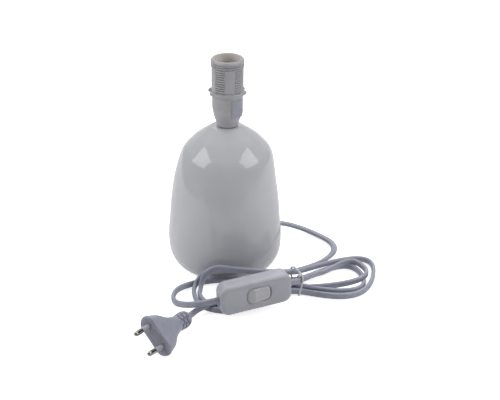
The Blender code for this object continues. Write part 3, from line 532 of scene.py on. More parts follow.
cordSize = {
    "width": 0.0054, "depth": 0.0034, "step": 0.0015, "inSwitch": 0.009, "clear": 0.0001, "nearPoints": 3,
    "smoothPoints": 12, "gap": 0.0003, "wayParts": 60,
}
cordHalf, coreSide = cordSize["depth"] / 2, (cordSize["width"] - cordSize["depth"]) / 2
exitSpot = {"heading": math.radians(51.7), "height": 0.011, "start": 0.041, "bushEnd": 0.0490, "pull": 0.018}
switchSpot = {
    "middle": (0.0260, -0.0867, 0.0191), "yaw": 22.7, "rise": 1.9,
    "length": 0.062, "pullIn": 0.0143, "pullOut": 0.0160,
}
plugSpot = {
    "face": (-0.0489, -0.1482, 0.0158), "yaw": math.radians(-116.7), "lift": math.radians(12.0),
    "roll": math.radians(-44.4), "length": 0.0474, "pull": 0.0156,
}
switchPlace = (
    moved(*switchSpot["middle"]) @ rotated(switchSpot["yaw"], "Z") @ rotated(90, "X")
    @ rotated(switchSpot["rise"], "Z")
)
plugHeading = Vector((
    math.cos(plugSpot["yaw"]) * math.cos(plugSpot["lift"]),
    math.sin(plugSpot["yaw"]) * math.cos(plugSpot["lift"]), math.sin(plugSpot["lift"]),
))
plugSide = Vector((-math.sin(plugSpot["yaw"]), math.cos(plugSpot["yaw"]), 0))
plugWide = plugSide * math.cos(plugSpot["roll"]) + plugHeading.cross(plugSide) * math.sin(plugSpot["roll"])
plugPlace = Matrix.Translation(plugSpot["face"]) @ Matrix(
    (plugWide, plugHeading.cross(plugWide), plugHeading)).transposed().to_4x4()
exitWay = Vector((math.cos(exitSpot["heading"]), math.sin(exitSpot["heading"]), 0))
exitLevel = Vector((0, 0, exitSpot["height"]))
switchWay = switchPlace.to_3x3() @ Vector((1, 0, 0))
rightEnd = switchPlace @ Vector((switchSpot["length"] / 2, 0, 0))
leftEnd = switchPlace @ Vector((-switchSpot["length"] / 2, 0, 0))
plugTail = Vector(plugSpot["face"]) - plugHeading * plugSpot["length"]

# Each station ends with its roll: 0 lies flat and 90 stands on edge
lampWay = [
    (exitWay * exitSpot["start"] + exitLevel, exitWay * (exitSpot["bushEnd"] - exitSpot["start"]) / 3, 0),
    (exitWay * (exitSpot["bushEnd"] + 2 * cordSize["gap"]) + exitLevel, exitWay * exitSpot["pull"], 0),
    ((0.0882, 0.0345, 0.0020), (0.0253, -0.0259, -0.0008), 0),
    ((0.0612, -0.0363, 0.0093), (-0.0102, -0.0124, 0.0042), 60),
    ((-0.0003, -0.0503, 0.0186), (-0.0137, 0.0009, 0.0018), 90),
    ((-0.0239, -0.0617, 0.0027), (0.0011, -0.0137, -0.0003), 90),
    ((0.0008, -0.0902, 0.0021), (0.0190, -0.0025, 0.0001), 90),
    ((0.0606, -0.0600, 0.0036), (0.0160, 0.0005, -0.0011), 90),
    ((0.1267, -0.0299, 0.0023), (0.0091, 0.0570, -0.0009), 90),
    ((0.0612, -0.0433, 0.0124), (-0.0105, -0.0154, 0.0073), 60),
    ((0.0013, -0.0545, 0.0213), (-0.0190, -0.0016, 0.0038), 90),
    ((-0.0190, -0.0613, 0.0023), (-0.0010, -0.0097, -0.0006), 90),
    ((0.0025, -0.0853, 0.0020), (0.0154, -0.0004, -0.0001), 90),
    ((0.0599, -0.0543, 0.0035), (0.0134, 0.0006, -0.0010), 90),
    ((0.1190, -0.0260, 0.0066), (-0.0111, 0.0261, 0.0001), 90),
    ((0.0810, -0.0425, 0.0108), (-0.0120, -0.0098, 0.0024), 60),
    (rightEnd, -switchWay * switchSpot["pullIn"], 90),
]
plugWay = [
    (leftEnd, -switchWay * switchSpot["pullOut"], 90),
    ((-0.0404, -0.0709, 0.0025), (-0.0002, 0.0111, 0.0040), 90),
    ((-0.0100, -0.0461, 0.0044), (0.0156, -0.0039, 0.0048), 90),
    ((0.0602, -0.0461, 0.0059), (0.0160, 0.0069, -0.0017), 90),
    ((0.1168, -0.0328, 0.0020), (0.0092, -0.0396, -0.0006), 90),
    ((0.0600, -0.0555, 0.0080), (-0.0070, 0.0017, 0.0029), 60),
    ((-0.0071, -0.0860, 0.0067), (-0.0158, -0.0076, -0.0014), 60),
    (plugTail, plugHeading * plugSpot["pull"], 120),
]


def followed(stations, before=0, after=0):
    # Evenly spaced points of the way, each with its roll; an end may run straight on
    dense = []
    for (start, pull, roll), (end, endPull, endRoll) in zip(stations, stations[1:]):
        start, end = Vector(start), Vector(end)
        handles = start, start + Vector(pull), end - Vector(endPull), end
        for i in range(cordSize["wayParts"]):
            t = i / cordSize["wayParts"]
            weights = (1 - t) ** 3, 3 * (1 - t) ** 2 * t, 3 * (1 - t) * t * t, t ** 3
            spot = sum((handle * weight for handle, weight in zip(handles, weights)), Vector())
            dense.append((spot, roll + (endRoll - roll) * rampUp(0, 1, t)))
    dense.append((Vector(stations[-1][0]), stations[-1][2]))
    if before:
        first = (dense[0][0] - dense[1][0]).normalized()
        dense.insert(0, (dense[0][0] + first * before, dense[0][1]))
    if after:
        last = (dense[-1][0] - dense[-2][0]).normalized()
        dense.append((dense[-1][0] + last * after, dense[-1][1]))
    travel = [0]
    for (spot, _), (following, _) in zip(dense, dense[1:]):
        travel.append(travel[-1] + (following - spot).length)
    count = round(travel[-1] / cordSize["step"])
    points, j = [], 0
    for i in range(count + 1):
        wanted = travel[-1] * i / count
        while j < len(travel) - 2 and travel[j + 1] < wanted:
            j += 1
        share = min((wanted - travel[j]) / (travel[j + 1] - travel[j]), 1)
        spot = dense[j][0].lerp(dense[j + 1][0], share)
        roll = dense[j][1] + (dense[j + 1][1] - dense[j][1]) * share
        points.append((spot, roll))
    return points, travel[-1]


def grounded(points):
    # A cord on its edge lies half its width above the table; each lift is spread along its neighbours
    near, reach = cordSize["nearPoints"], cordSize["smoothPoints"]
    lifts = [
        max(cordHalf + coreSide * abs(math.sin(math.radians(roll))) + cordSize["clear"] - spot.z, 0)
        for spot, roll in points
    ]
    smooth = []
    for i, lift in enumerate(lifts):
        around = [
            max(lifts[max(i + k - near, 0):i + k + near + 1])
            for k in range(-reach, reach + 1) if 0 <= i + k < len(lifts)
        ]
        smooth.append(max(sum(around) / len(around), lift))
    return [(spot + Vector((0, 0, lift)), roll) for (spot, roll), lift in zip(points, smooth)]


def curvePiece(name, curve, points, rolls=()):
    # A straight-lined curve through the points, turned at each by its roll, then made a mesh
    curve.dimensions = "3D"
    curve.use_fill_caps = True
    line = curve.splines.new("POLY")
    line.points.add(len(points) - 1)
    for point, spot in zip(line.points, points):
        point.co = (*spot, 1)
    for point, roll in zip(line.points, rolls):
        point.tilt = math.radians(roll)
    pick(placed(name, curve))
    bpy.ops.object.convert(target="MESH")
    piece = bpy.context.object
    outward(piece)
    return settle(piece, angle=60)


def flatCord(name, points, sides=20):
    # A flat oval is drawn along the way
    oval = bpy.data.curves.new("cordOval", "CURVE")
    outline = oval.splines.new("POLY")
    outline.use_cyclic_u = True
    outline.points.add(sides - 1)
    for point, spot in zip(outline.points, ovalRing(cordSize["width"], cordSize["depth"], sides)):
        point.co = (*spot, 0, 1)
    ovalPiece = placed("cordOval", oval)
    curve = bpy.data.curves.new(name, "CURVE")
    curve.twist_mode = "Z_UP"
    curve.bevel_mode = "OBJECT"
    curve.bevel_object = ovalPiece
    piece = curvePiece(name, curve, [spot for spot, _ in points], [roll for _, roll in points])
    bpy.data.objects.remove(ovalPiece)
    return piece


def roundWire(name, points, radius):
    curve = bpy.data.curves.new(name, "CURVE")
    curve.bevel_depth = radius
    curve.bevel_resolution = 3
    return curvePiece(name, curve, points)


lampPoints, lampLength = followed(lampWay, 0, cordSize["inSwitch"])
plugPoints, plugLength = followed(plugWay, cordSize["inSwitch"], 0)
lampPoints, plugPoints = grounded(lampPoints), grounded(plugPoints)
lampCord = flatCord("lampCord", lampPoints)
plugCord = flatCord("plugCord", plugPoints)
dress(lampCord, "cordVinyl", "cord_lamp_run", "cord_lamp_hank")
dress(plugCord, "cordVinyl", "cord_plug_hank", "cord_plug_run")
print(f"stage: cords laid, {lampLength:.3f} m and {plugLength:.3f} m")


# Body: turned, with the neck a little to the right of the foot

body = {
    "radius": 0.0482, "foot": 0.0018, "top": 0.126, "wall": 0.005, "neckHole": 0.0053, "chamfer": 0.0003,
    "ledge": [(0.0102, 0.126), (0.0114, 0.1259)], "neckShift": 0.0024, "neckReach": 0.0122,
    "ceiling": 0.119, "innerNeck": 0.012, "innerGap": 0.004, "footWidth": 0.004, "footRound": 0.0008,
    "footRise": 0.004,
    "shares": [
        (0.000, 0.830), (0.012, 0.876), (0.042, 0.930), (0.090, 0.979), (0.147, 0.998), (0.219, 1.000),
        (0.324, 0.975), (0.436, 0.952), (0.549, 0.917), (0.662, 0.871), (0.767, 0.815), (0.831, 0.753),
        (0.879, 0.652), (0.920, 0.540), (0.960, 0.399), (0.988, 0.292), (0.998, 0.250),
    ],
    "lean": [
        (0.0, 0.25), (0.22, 0.05), (0.62, 0.10), (0.73, 0.45), (0.80, 0.72), (0.92, 0.75), (1.0, 0.70),
    ],
    "bushHole": (0.0046, 0.0345, 0.052),
}
bush = {
    "outline": [
        (0, 0.0405), (0.0041, 0.0405), (0.0043, 0.0407), (0.0043, 0.0482), (0.0042, 0.0487),
        (0.0038, 0.0490), (0.0034, 0.0489), (0, 0.0489),
    ],
    "slot": (0.0385, 0.051),
}
exitPlace = moved(*exitLevel) @ Matrix.Rotation(exitSpot["heading"], 4, "Z") @ rotated(90, "Y")


def leanAt(height):
    share = (height - body["foot"]) / (body["top"] - body["foot"])
    return body["neckShift"] * valueAt(body["lean"], share)


def rodPiece(name, radius, low, high, segments=48):
    # A point halfway up keeps its side in two rows of faces
    points = [(0, low), (radius, low), (radius, (low + high) / 2), (radius, high), (0, high)]
    return turned(name, points, segments)


def slotCutter(name, low, high, play=0.0003):
    # The flat cord's slot along Z, wide along Y
    ring = ovalRing(cordSize["width"] + 2 * play, cordSize["depth"] + 2 * play, 32)
    return lofted(name, [[(-y, x, level) for x, y in ring] for level in (low, high)])


def buildBody():
    top, foot, neck, ceiling = body["top"], body["foot"], body["neckHole"], body["ceiling"]
    outer = [(share * body["radius"], foot + height * (top - foot)) for height, share in body["shares"]]
    outer = smoothed(outer, 6)
    # The hollow follows every sixth point of the outline
    inner = [(max(radius - body["wall"], body["innerNeck"]), height) for radius, height in outer[8:-14:6]]
    inner = [spot for spot in inner if spot[1] < ceiling - body["innerGap"]]
    rim = outer[0][0]
    edge = rim - body["footWidth"]
    profile = [(neck, ceiling), (neck, top - body["chamfer"]), (neck + body["chamfer"], top), *body["ledge"]]
    profile += outer[-3::-1]
    profile += [(rim - body["footRound"], foot), (edge, foot), (edge, foot + body["footRise"])]
    profile += inner + [(body["innerNeck"], ceiling), (neck, ceiling)]
    piece = turned("castBody", profile, 128)
    for vertex in piece.data.vertices:
        inNeck = math.hypot(vertex.co.x, vertex.co.y) < body["neckReach"]
        vertex.co.x += body["neckShift"] if inNeck else leanAt(vertex.co.z)
    cutAway(piece, settle(rodPiece("bushHole", *body["bushHole"]), exitPlace))
    dress(settle(piece), "glaze", "cast_body")
    cordBush = turned("cordBush", bush["outline"], 64)
    cutAway(cordBush, slotCutter("bushSlot", *bush["slot"]))
    dress(settle(cordBush, exitPlace), "bushRubber", "cord_bush")


buildBody()
print("stage: body and bush built")


# Lampholder: heights from its foot on the body

holder = {
    "foot": 0.1263, "radius": 0.01265, "capHeight": 0.0169,
    "cap": [
        (0.00, 0.600), (0.012, 0.650), (0.04, 0.690), (0.09, 0.712), (0.20, 0.745), (0.32, 0.801),
        (0.42, 0.852), (0.53, 0.892), (0.64, 0.924), (0.75, 0.950), (0.85, 0.976), (0.94, 0.992),
        (0.985, 0.998), (1.00, 0.992),
    ],
    "capWall": 0.0014, "capFloor": 0.004, "capHole": [(0.0075, 0.0034), (0.0053, 0.0034), (0.0053, 0.0)],
    "bore": [
        (0.0099, 0.0135), (0.0099, 0.0228), (0.0085, 0.0228), (0.0085, 0.0243), (0.0110, 0.0243),
        (0.0110, 0.040), (0.0110, 0.050),
    ],
    "lip": [
        (0.0110, 0.0574), (0.0112, 0.0578), (0.0115, 0.0580), (0.0119, 0.0580), (0.0125, 0.0578),
        (0.0130, 0.0573), (0.0134, 0.0567), (0.0136, 0.0560), (0.0136, 0.0557), (0.0134, 0.05535),
    ],
    "lipLow": 0.0553, "ringStep": 0.00015, "core": 0.0130, "crest": 0.0135, "groove": 0.0007,
    "pitch": 0.00195, "flank": (0.10, 0.62), "threadStart": 0.0549, "fullThread": 0.0512, "runIn": 0.0004,
    "panels": [(-101, -59), (-23, 43), (79, 121), (157, 223)], "panelFade": 3.0,
    "collarLow": 0.0278, "collarHigh": 0.0309, "collarRadius": 0.0144, "round": 0.0003,
    "collar": [
        (0.0130, 0.0309), (0.0136, 0.0309), (0.0142, 0.0307), (0.0144, 0.0302), (0.0144, 0.0283),
        (0.0142, 0.0279), (0.0138, 0.0278), (0.01295, 0.0278), (0.01265, 0.0275),
    ],
    "ears": [(22.5, 0.0153, 20.0), (-7.5, 0.0157, -20.0), (172.5, 0.0160, -22.5), (202.5, 0.0157, 22.5)],
    "earSlope": 1.3, "notches": [(-7.5, 22.5), (172.5, 202.5)], "notchShare": 0.5,
    "wallEnd": 0.0172, "wallParts": 8, "slack": 0.0001,
    "step": [(0.01255, 0.0170), (0.0108, 0.0170), (0.0108, 0.0135), (0.0099, 0.0135)],
}
label = {
    "low": 0.0098, "high": 0.0252, "from": -74.0, "to": -22.0, "thick": 0.0002, "parts": (40, 24),
    "lift": 0.00012, "peel": 0.0010, "peelAlong": (0.5, 1.0), "peelDown": (0.75, 0.25), "wave": 0.00005,
    "waves": (9, 4),
}
screwShell = {
    "radius": 0.0074, "wall": 0.0004, "low": 0.0316, "tall": 0.0150, "rings": 60, "round": 0.0008,
    "floor": 0.0019, "plain": 0.0012, "skin": 0.0006, "pitch": 0.0035, "depth": 0.0002,
}
holderPlace = moved(body["neckShift"], 0, holder["foot"])


def buildCap():
    outer = [(share * holder["radius"], height * holder["capHeight"]) for height, share in holder["cap"]]
    profile = smoothed(outer, 5)
    inner = [(x - holder["capWall"], height) for x, height in profile[::-6] if height > holder["capFloor"]]
    piece = turned("holderCap", profile + inner + holder["capHole"] + profile[:1], 112)
    dress(settle(piece, holderPlace), "holderWhite", "holder_cap")


def ribbed(turn, height):
    # Shares of a rib's height and a groove's depth: the thread winds on, but stops over the smooth panels
    phase = (height - holder["threadStart"]) / holder["pitch"] - turn / 360
    near = abs(phase - math.floor(phase) - 0.5) * 2
    rib = rampUp(*holder["flank"], near)
    shown = 1.0
    if height < holder["fullThread"]:
        for start, end in holder["panels"]:
            inside = min((turn - start) % 360, (end - turn) % 360)
            if (turn - start) % 360 < end - start:
                shown = 1 - rampUp(0.0, holder["panelFade"], inside)
    return rib * shown, (1 - rib) * shown


def buildShell():
    core, radius, slack, lipLow = holder["core"], holder["radius"], holder["slack"], holder["lipLow"]
    low, high, reach = holder["collarLow"], holder["collarHigh"], holder["collarRadius"]
    rings = round((lipLow - high) / holder["ringStep"])
    profile = holder["bore"] + smoothed(holder["lip"], 2)
    profile += [(core, lipLow + (high - lipLow) * i / rings) for i in range(rings)] + holder["collar"]
    parts = holder["wallParts"]
    profile += [(radius, low + (holder["wallEnd"] - low) * i / parts) for i in range(1, parts)]
    profile += holder["step"]
    piece = turned("holderShell", profile, 256)
    for vertex in piece.data.vertices:
        spot = wanted = math.hypot(vertex.co.x, vertex.co.y)
        if spot < core - slack / 2:
            continue
        turn = math.degrees(math.atan2(vertex.co.y, vertex.co.x))
        height = vertex.co.z
        if high + slack < height <= lipLow and spot < core + slack:
            up, down = ribbed(turn, height)
            reached = rampUp(high, high + holder["runIn"], height)
            wanted = core + ((holder["crest"] - core) * up - holder["groove"] * down) * reached
        elif low - slack < height < high + slack and spot > radius + holder["round"]:
            share = (spot - radius) / (reach - radius)
            for start, end in holder["notches"]:
                if 0 < (turn - start) % 360 < end - start:
                    wanted = radius + (spot - reach) * holder["notchShare"]
            for tip, far, out in holder["ears"]:
                off = round((turn - tip + 180) % 360 - 180, 3) / out
                if 0 <= off < 1:
                    wanted += (far - reach) * (1 - off) ** holder["earSlope"] * share
        vertex.co.x *= wanted / spot
        vertex.co.y *= wanted / spot
    dress(settle(piece, holderPlace, 60), "holderWhite", "holder_shell")


def buildLabel():
    # It follows the shell, and stands off a little where the cap draws in under it
    clearSelection()
    across, upward = label["parts"]
    bpy.ops.mesh.primitive_grid_add(x_subdivisions=across, y_subdivisions=upward, size=1)
    piece = bpy.context.object
    piece.name = "holderLabel"
    cap = [(height * holder["capHeight"], share * holder["radius"]) for height, share in holder["cap"]]
    for vertex in piece.data.vertices:
        along, up = vertex.co.x + 0.5, vertex.co.y + 0.5
        turn = math.radians(label["from"] + (label["to"] - label["from"]) * along)
        height = label["low"] + (label["high"] - label["low"]) * up
        under = valueAt(cap, height) if height < holder["capHeight"] else holder["radius"]
        peel = rampUp(*label["peelAlong"], along) * rampUp(*label["peelDown"], up)
        wave = math.sin(label["waves"][0] * along + label["waves"][1] * up)
        radius = under + label["lift"] + label["peel"] * peel + label["wave"] * wave
        vertex.co = (radius * math.cos(turn), radius * math.sin(turn), height)
    useModifier(piece, "SOLIDIFY", thickness=label["thick"], offset=1.0)
    outward(piece)
    dress(settle(piece, holderPlace), "sticker", "holder_label")


def buildScrewShell():
    # Thin plated shell with rolled threads
    radius, wall, low = screwShell["radius"], screwShell["wall"], screwShell["low"]
    foot, tall, rings = screwShell["round"], screwShell["tall"], screwShell["rings"]
    outer = [(radius, low + foot + (tall - foot) * (1 - i / rings)) for i in range(rings + 1)]
    inner = [(spot - wall, height) for spot, height in outer[::-1]]
    floorEdge = radius - screwShell["floor"]
    profile = outer + [(radius, low), (floorEdge, low), (floorEdge, low + wall), (radius - foot, low + wall)]
    piece = turned("screwShell", profile + inner + [outer[0]], 72)
    for vertex in piece.data.vertices:
        spot = math.hypot(vertex.co.x, vertex.co.y)
        if vertex.co.z > low + screwShell["plain"] and spot > radius - screwShell["skin"]:
            turn = math.atan2(vertex.co.y, vertex.co.x)
            wave = math.cos((vertex.co.z - low) / screwShell["pitch"] * math.tau - turn) - 1
            grown = (spot + screwShell["depth"] * wave) / spot
            vertex.co.x *= grown
            vertex.co.y *= grown
    dress(settle(piece, holderPlace, 50), "steelMetal", "screw_shell")


buildCap()
buildShell()
buildLabel()
buildScrewShell()
print("stage: lampholder built")


# In-line switch: X along it, Y up its long side, Z out of the face with the rocker

switch = {
    "size": (0.0606, 0.0257, 0.015), "shift": -0.0006, "corner": 0.0074, "edge": 0.0031, "wall": 0.0018,
    "split": 0.00006, "cordSlot": (-0.002, 0.004), "slotIn": 0.002,
    "rocker": (0.0206, 0.0126), "rockerPlace": (0.0009, 0.0009), "rockerCorner": 0.0044,
    "rockerEdge": 0.0014, "edgeRings": 6, "footShare": 0.95, "sideStep": 0.0005, "topRings": 26,
    "topShare": 0.99, "rockerFoot": -0.0030, "pivot": 0.0015, "tilt": 12.0,
    "play": 0.00015, "rim": 0.0005, "rimReach": 0.0001, "skirt": 0.0009, "skirtDeep": (0.0050, 0.0010),
    "opening": (0.0060, -0.0020), "pinBore": 0.0011, "pinReach": 0.0084,
    "crest": [
        (-0.50, -0.0002), (-0.47, 0.0003), (-0.42, 0.0009), (-0.36, 0.0016), (-0.30, 0.0023),
        (-0.265, 0.0027), (-0.245, 0.00288), (-0.23, 0.00295), (-0.20, 0.00293), (-0.10, 0.00277),
        (0.0, 0.0027), (0.10, 0.00278), (0.20, 0.0030), (0.30, 0.0032), (0.38, 0.0033), (0.43, 0.0032),
        (0.47, 0.0029), (0.50, 0.0025),
    ],
}
screw = {
    "places": {"Left": (-0.0185, 0.0076), "Right": (0.0185, 0.0076)}, "hole": (0.0027, -0.0085, -0.0062),
    "outline": [
        (0, -0.0075), (0.0019, -0.0075), (0.0023, -0.0072), (0.0024, -0.0066), (0.0023, -0.0063),
        (0.0014, -0.0063), (0.0014, 0.003), (0, 0.003),
    ],
    "bar": (0.0032, 0.0006, 0.0012), "barAt": -0.0075, "turns": (25, 115),
}
rockerPlace = moved(*switch["rockerPlace"], switch["size"][2] / 2 - switch["pivot"])
rockerCrest = smoothed(switch["crest"], 3)


def rockerPrism(name, grow, low, high):
    # The rocker's plan, grown all round, between two levels of the switch
    wide, tall = switch["rocker"]
    plan = roundedPlan(wide / 2 + grow, tall / 2 + grow, switch["rockerCorner"] + grow)
    rings = [[(x, y, level) for x, y in plan] for level in (low, high)]
    return settle(lofted(name, rings), moved(*switch["rockerPlace"]))


def pinBore(reach):
    return settle(rodPiece("pinBore", switch["pinBore"], -reach, reach, 32), rotated(90, "X"))


def buildHousing():
    length, height, depth = switch["size"]
    wall, play, shift = switch["wall"], switch["play"], switch["shift"]
    for name, sign, node in (("switchCover", 1, "switch_cover"), ("switchBase", -1, "switch_base")):
        tall = depth / 2 - switch["split"]
        middle = (shift, 0, sign * (switch["split"] + tall / 2))
        piece = blockPiece(name, (length, height, tall), middle, switch["corner"], 14)
        face = sign * depth / 2
        onFace = onLevel(face)
        bevelEdges(piece, switch["edge"], 8, onFace)
        inner = (side - 2 * wall for side in switch["size"])
        cutAway(piece, blockPiece("room", tuple(inner), (shift, 0, 0), switch["corner"] - wall, 6))
        for side in (-1, 1):
            end = moved(shift + side * (length / 2 - switch["slotIn"])) @ rotated(90 * side, "Y")
            cutAway(piece, settle(slotCutter("cordSlot", *switch["cordSlot"]), end))
        if sign > 0:
            # A skirt under the opening holds the rocker's pin
            skirt, opening = ([face - deep for deep in switch[key]] for key in ("skirtDeep", "opening"))
            cutAway(piece, rockerPrism("skirt", play + switch["skirt"], *skirt), "UNION")
            cutAway(piece, rockerPrism("opening", play, *opening))
            cutAway(piece, settle(pinBore(switch["pinReach"]), rockerPlace))
            reachX, reachY = (side / 2 + play + switch["rimReach"] for side in switch["rocker"])
            atX, atY = switch["rockerPlace"]
            bevelEdges(piece, switch["rim"], 3, lambda a, b: onFace(a, b) and all(
                abs(spot.x - atX) < reachX and abs(spot.y - atY) < reachY for spot in (a, b)
            ))
        else:
            for place in screw["places"].values():
                cutAway(piece, settle(rodPiece("screwHole", *screw["hole"], 40), moved(*place)))
        dress(settle(piece, switchPlace, 28), "switchWhite", node)
    for side, place in screw["places"].items():
        piece = turned(f"coverScrew{side}", screw["outline"], 40)
        for turn in screw["turns"]:
            bar = settle(blockPiece("bar", screw["bar"]), moved(z=screw["barAt"]) @ rotated(turn, "Z"))
            cutAway(piece, bar)
        dress(settle(piece, switchPlace @ moved(*place), 30), "steelMetal", f"cover_screw_{side.lower()}")


def crestAt(x):
    # The crest's height at a place along the rocker, level with its ends beyond them
    return valueAt(rockerCrest, max(x / switch["rocker"][0], -0.5))


def divided(plan, counts):
    # Each side of the plan in so many parts
    spots = []
    for (startX, startY), (endX, endY), count in zip(plan, plan[1:] + plan[:1], counts):
        for i in range(count):
            spots.append((startX + (endX - startX) * i / count, startY + (endY - startY) * i / count))
    return spots


def buildRocker():
    # Rings up its side, round its edge and in over the crest; the height follows the place along the rocker
    wide, tall = switch["rocker"]
    edge, corner, foot = switch["rockerEdge"], switch["rockerCorner"], switch["rockerFoot"]
    corners = roundedPlan(wide / 2, tall / 2, corner)
    sides = zip(corners, corners[1:] + corners[:1])
    counts = [max(1, round(math.dist(a, b) / switch["sideStep"])) for a, b in sides]
    plan = divided(corners, counts)
    rings = [[(x * switch["footShare"], y, foot) for x, y in plan]]
    for share in (0.5, 1.0):
        rings.append([(x, y, foot + (crestAt(x) - edge - foot) * share) for x, y in plan])
    for i in range(1, switch["edgeRings"] + 1):
        turn = i / switch["edgeRings"] * math.pi / 2
        drawn = edge * (1 - math.cos(turn))
        ring = divided(roundedPlan(wide / 2 - drawn, tall / 2 - drawn, corner - drawn), counts)
        rings.append([(x, y, crestAt(x) - edge * (1 - math.sin(turn))) for x, y in ring])
    last = rings[-1]
    for i in range(1, switch["topRings"] + 1):
        share = 1 - i / switch["topRings"] * switch["topShare"]
        rings.append([(x * share, y * share, crestAt(x * share)) for x, y, _ in last])
    piece = lofted("switchRocker", rings)
    cutAway(piece, pinBore(tall))
    place = switchPlace @ rockerPlace @ rotated(switch["tilt"], "Y")
    dress(settle(piece, place, 40), "rockerWhite", "switch_rocker", body="rocker")


buildHousing()
buildRocker()
print("stage: switch built")


# Plug: X across its width, Y through its thickness, Z along the pins

plug = {
    "width": 0.0353, "thickness": 0.0137,
    "sections": [
        (0.0, 0.950, 0.920, 0.0), (0.010, 0.990, 0.970, 0.0), (0.022, 0.999, 1.000, 0.0),
        (0.060, 1.001, 1.003, 0.0), (0.072, 0.995, 1.000, 0.0), (0.080, 0.972, 0.985, 0.0),
        (0.100, 0.962, 0.980, 0.01), (0.150, 0.930, 0.975, 0.03), (0.200, 0.895, 0.970, 0.08),
        (0.260, 0.845, 0.960, 0.15), (0.320, 0.735, 0.950, 0.24), (0.380, 0.625, 0.935, 0.35),
        (0.440, 0.542, 0.925, 0.48), (0.500, 0.476, 0.915, 0.64), (0.560, 0.427, 0.910, 0.80),
        (0.610, 0.392, 0.915, 0.93), (0.650, 0.366, 0.942, 1.0), (0.700, 0.362, 0.935, 1.0),
        (0.800, 0.380, 0.980, 1.0), (0.880, 0.392, 1.010, 1.0), (0.950, 0.370, 0.955, 1.0),
        (0.985, 0.325, 0.840, 1.0), (1.0, 0.240, 0.620, 1.0),
    ],
    "cornerShares": (0.26, 0.67), "sharpness": 14, "slots": [0.680, 0.728, 0.776, 0.824, 0.872],
    "slotHalf": 0.0140, "slotEdge": (0.65, 1.05), "slotEnds": (0.30, 0.36), "slotDepth": 0.0022,
    "slotTurns": 5, "band": (0.65, 0.905), "bandParts": 72,
    "pocket": ((0.0265, 0.0073, 0.0086), (0, 0, -0.0020), 0.0036, 8),
    "carrier": ((0.0262, 0.0070, 0.0059), (0, 0, -0.00305), 0.00345, 8), "carrierFace": -0.0001,
    "carrierEdge": 0.00015, "pinLength": 0.019, "pinSpacing": 0.0186, "tipSpacing": 0.0175,
    "pinHole": (0.0023, -0.0048, 0.002),
    "pin": [
        (0, 0.019), (0.0009, 0.01888), (0.00156, 0.0185), (0.0019, 0.0178), (0.002, 0.0169),
        (0.002, 0.0105), (0.0018, 0.0103), (0.0015, 0.0103), (0.0015, -0.0045), (0, -0.0045),
    ],
    "sleeve": [
        (0.0018, -0.0045), (0.002, -0.0045), (0.002, 0.0097), (0.0019, 0.010), (0.0018, 0.010),
        (0.0018, -0.0045),
    ],
}


def slotSink(level, turn):
    # Short slots round the boot, each row half a step on from the one before it
    sink = 0
    for i, slot in enumerate(plug["slots"]):
        off = abs(level - slot)
        step = (turn * plug["slotTurns"] + i / 2) % 1
        across = 1 - rampUp(*(plug["slotHalf"] * share for share in plug["slotEdge"]), off)
        along = 1 - rampUp(*plug["slotEnds"], abs(step - 0.5))
        sink = max(sink, plug["slotDepth"] * across * along)
    return sink


def plugRing(level, width, thickness, roundness, steps=140):
    halfWidth, halfThick = width * plug["width"] / 2, thickness * plug["thickness"] / 2
    cornerX, cornerY = halfWidth * plug["cornerShares"][0], halfThick * plug["cornerShares"][1]
    power = plug["sharpness"]
    ring = []
    for i in range(steps):
        angle = math.tau * i / steps
        oval = Vector((math.cos(angle) * halfWidth, math.sin(angle) * halfThick))
        across, up = max(abs(oval.x) / oval.length, 1e-6), max(abs(oval.y) / oval.length, 1e-6)
        slanted = (halfWidth / cornerX + halfThick / cornerY - 1) / (across / cornerX + up / cornerY)
        # The least of the three sides, with their corners rounded off
        reach = sum(side ** -power for side in (halfWidth / across, halfThick / up, slanted)) ** (-1 / power)
        spot = (oval.normalized() * reach).lerp(oval, min(max(roundness, 0), 1))
        spot = spot - spot.normalized() * slotSink(level, i / steps)
        ring.append((spot.x, spot.y, -level * plugSpot["length"]))
    return ring


def buildPlug():
    fine = smoothed(plug["sections"], 4)
    start, end = plug["band"]
    band = []
    for i in range(1, plug["bandParts"]):
        level = start + (end - start) * i / plug["bandParts"]
        before = max(section for section in fine if section[0] <= level)
        after = min(section for section in fine if section[0] > level)
        share = (level - before[0]) / (after[0] - before[0])
        band.append(tuple(a + (b - a) * share for a, b in zip(before, after)))
    sections = sorted([section for section in fine if not start < section[0] < end] + band)
    piece = lofted("plugBody", [plugRing(*section) for section in sections[::-1]])
    cutAway(piece, blockPiece("pocket", *plug["pocket"]))
    dress(settle(piece, plugPlace, 30), "plugVinyl", "plug_body")
    carrier = blockPiece("plugCarrier", *plug["carrier"])
    bevelEdges(carrier, plug["carrierEdge"], 2, onLevel(plug["carrierFace"]))
    lean = math.atan((plug["pinSpacing"] - plug["tipSpacing"]) / 2 / plug["pinLength"])
    for side, name in ((-1, "Left"), (1, "Right")):
        place = moved(side * plug["pinSpacing"] / 2) @ Matrix.Rotation(-side * lean, 4, "Y")
        cutAway(carrier, settle(rodPiece("pinHole", *plug["pinHole"], 40), place))
        for kind, outline, finish, node in (
            ("plugPin", plug["pin"], "pinMetal", "plug_pin"),
            ("pinSleeve", plug["sleeve"], "sleeveGrey", "pin_sleeve"),
        ):
            piece = turned(kind + name, outline, 48)
            dress(settle(piece, plugPlace @ place, 30), finish, f"{node}_{name.lower()}")
    dress(settle(carrier, plugPlace, 30), "plugVinyl", "plug_carrier")


buildPlug()
print("stage: plug built")


# Wire tie round all the strands that cross its plane, its ends twisted together

tie = {
    "place": (0.0600, -0.0510, 0.0090), "heading": math.radians(14.0), "wire": 0.0007, "play": 0.0005,
    "reach": 0.025, "clear": 0.0001, "knot": math.radians(100.0), "points": 96, "spread": 1.25,
    "tail": 0.004, "tailPoints": 27, "tailTurn": math.radians(450.0), "tailLean": (-0.3, 0.15),
}


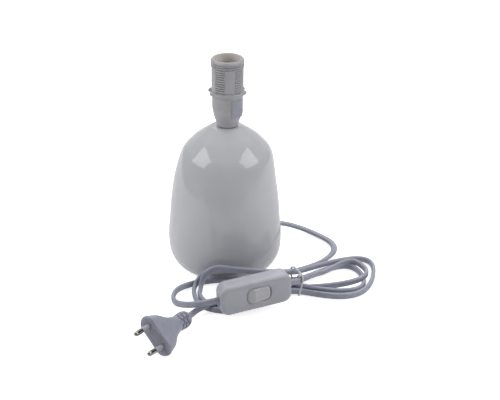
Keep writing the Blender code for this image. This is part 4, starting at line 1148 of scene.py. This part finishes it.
def buildTie():
    middle = Vector(tie["place"])
    normal = Vector((math.cos(tie["heading"]), math.sin(tie["heading"]), 0))
    across = Vector((-math.sin(tie["heading"]), math.cos(tie["heading"]), 0))
    strands = []
    for points in (lampPoints, plugPoints):
        for (start, roll), (end, _) in zip(points, points[1:]):
            before, after = (start - middle).dot(normal), (end - middle).dot(normal)
            if before * after <= 0 and before != after and (start - middle).length < tie["reach"]:
                way = (end - start).normalized()
                flat = Vector((0, 0, 1)).cross(way).normalized()
                rise = way.cross(flat)
                turn = math.radians(roll)
                wide = flat * math.cos(turn) + rise * math.sin(turn)
                spot = start.lerp(end, before / (before - after)) - middle
                for sign in (-1, 1):
                    strands.append((spot + wide * coreSide * sign, cordHalf / abs(way.dot(normal))))

    def around(angle):
        outwardWay = across * math.cos(angle) + Vector((0, 0, math.sin(angle)))
        spot, room = max(strands, key=lambda strand: strand[0].dot(outwardWay) + strand[1])
        place = middle + spot + outwardWay * (room + tie["play"] + tie["wire"])
        place.z = max(place.z, tie["wire"] + tie["clear"])
        return place

    twist = tie["wire"] * tie["spread"]
    opening = twist / (around(tie["knot"]) - middle).length
    shares = [i / tie["points"] for i in range(tie["points"] + 1)]
    loop = [around(tie["knot"] + opening + (math.tau - 2 * opening) * share) for share in shares]
    root = (loop[0] + loop[-1]) / 2
    apart = (loop[0] - loop[-1]).normalized()
    leanAcross, leanUp = tie["tailLean"]
    way = (Vector((0, 0, leanUp)) + across * leanAcross - normal).normalized()
    sideways = way.cross(apart).normalized()
    tails = []
    for sign in (1, -1):
        tail = []
        for i in range(1, tie["tailPoints"] + 1):
            share = i / tie["tailPoints"]
            swing = apart * math.cos(tie["tailTurn"] * share) + sideways * math.sin(tie["tailTurn"] * share)
            tail.append(root + way * tie["tail"] * share + swing * sign * twist)
        tails.append(tail)
    return roundWire("cordTie", tails[0][::-1] + loop + tails[1], tie["wire"])


dress(buildTie(), "tieWhite", "cord_tie")
print("stage: tie wound")
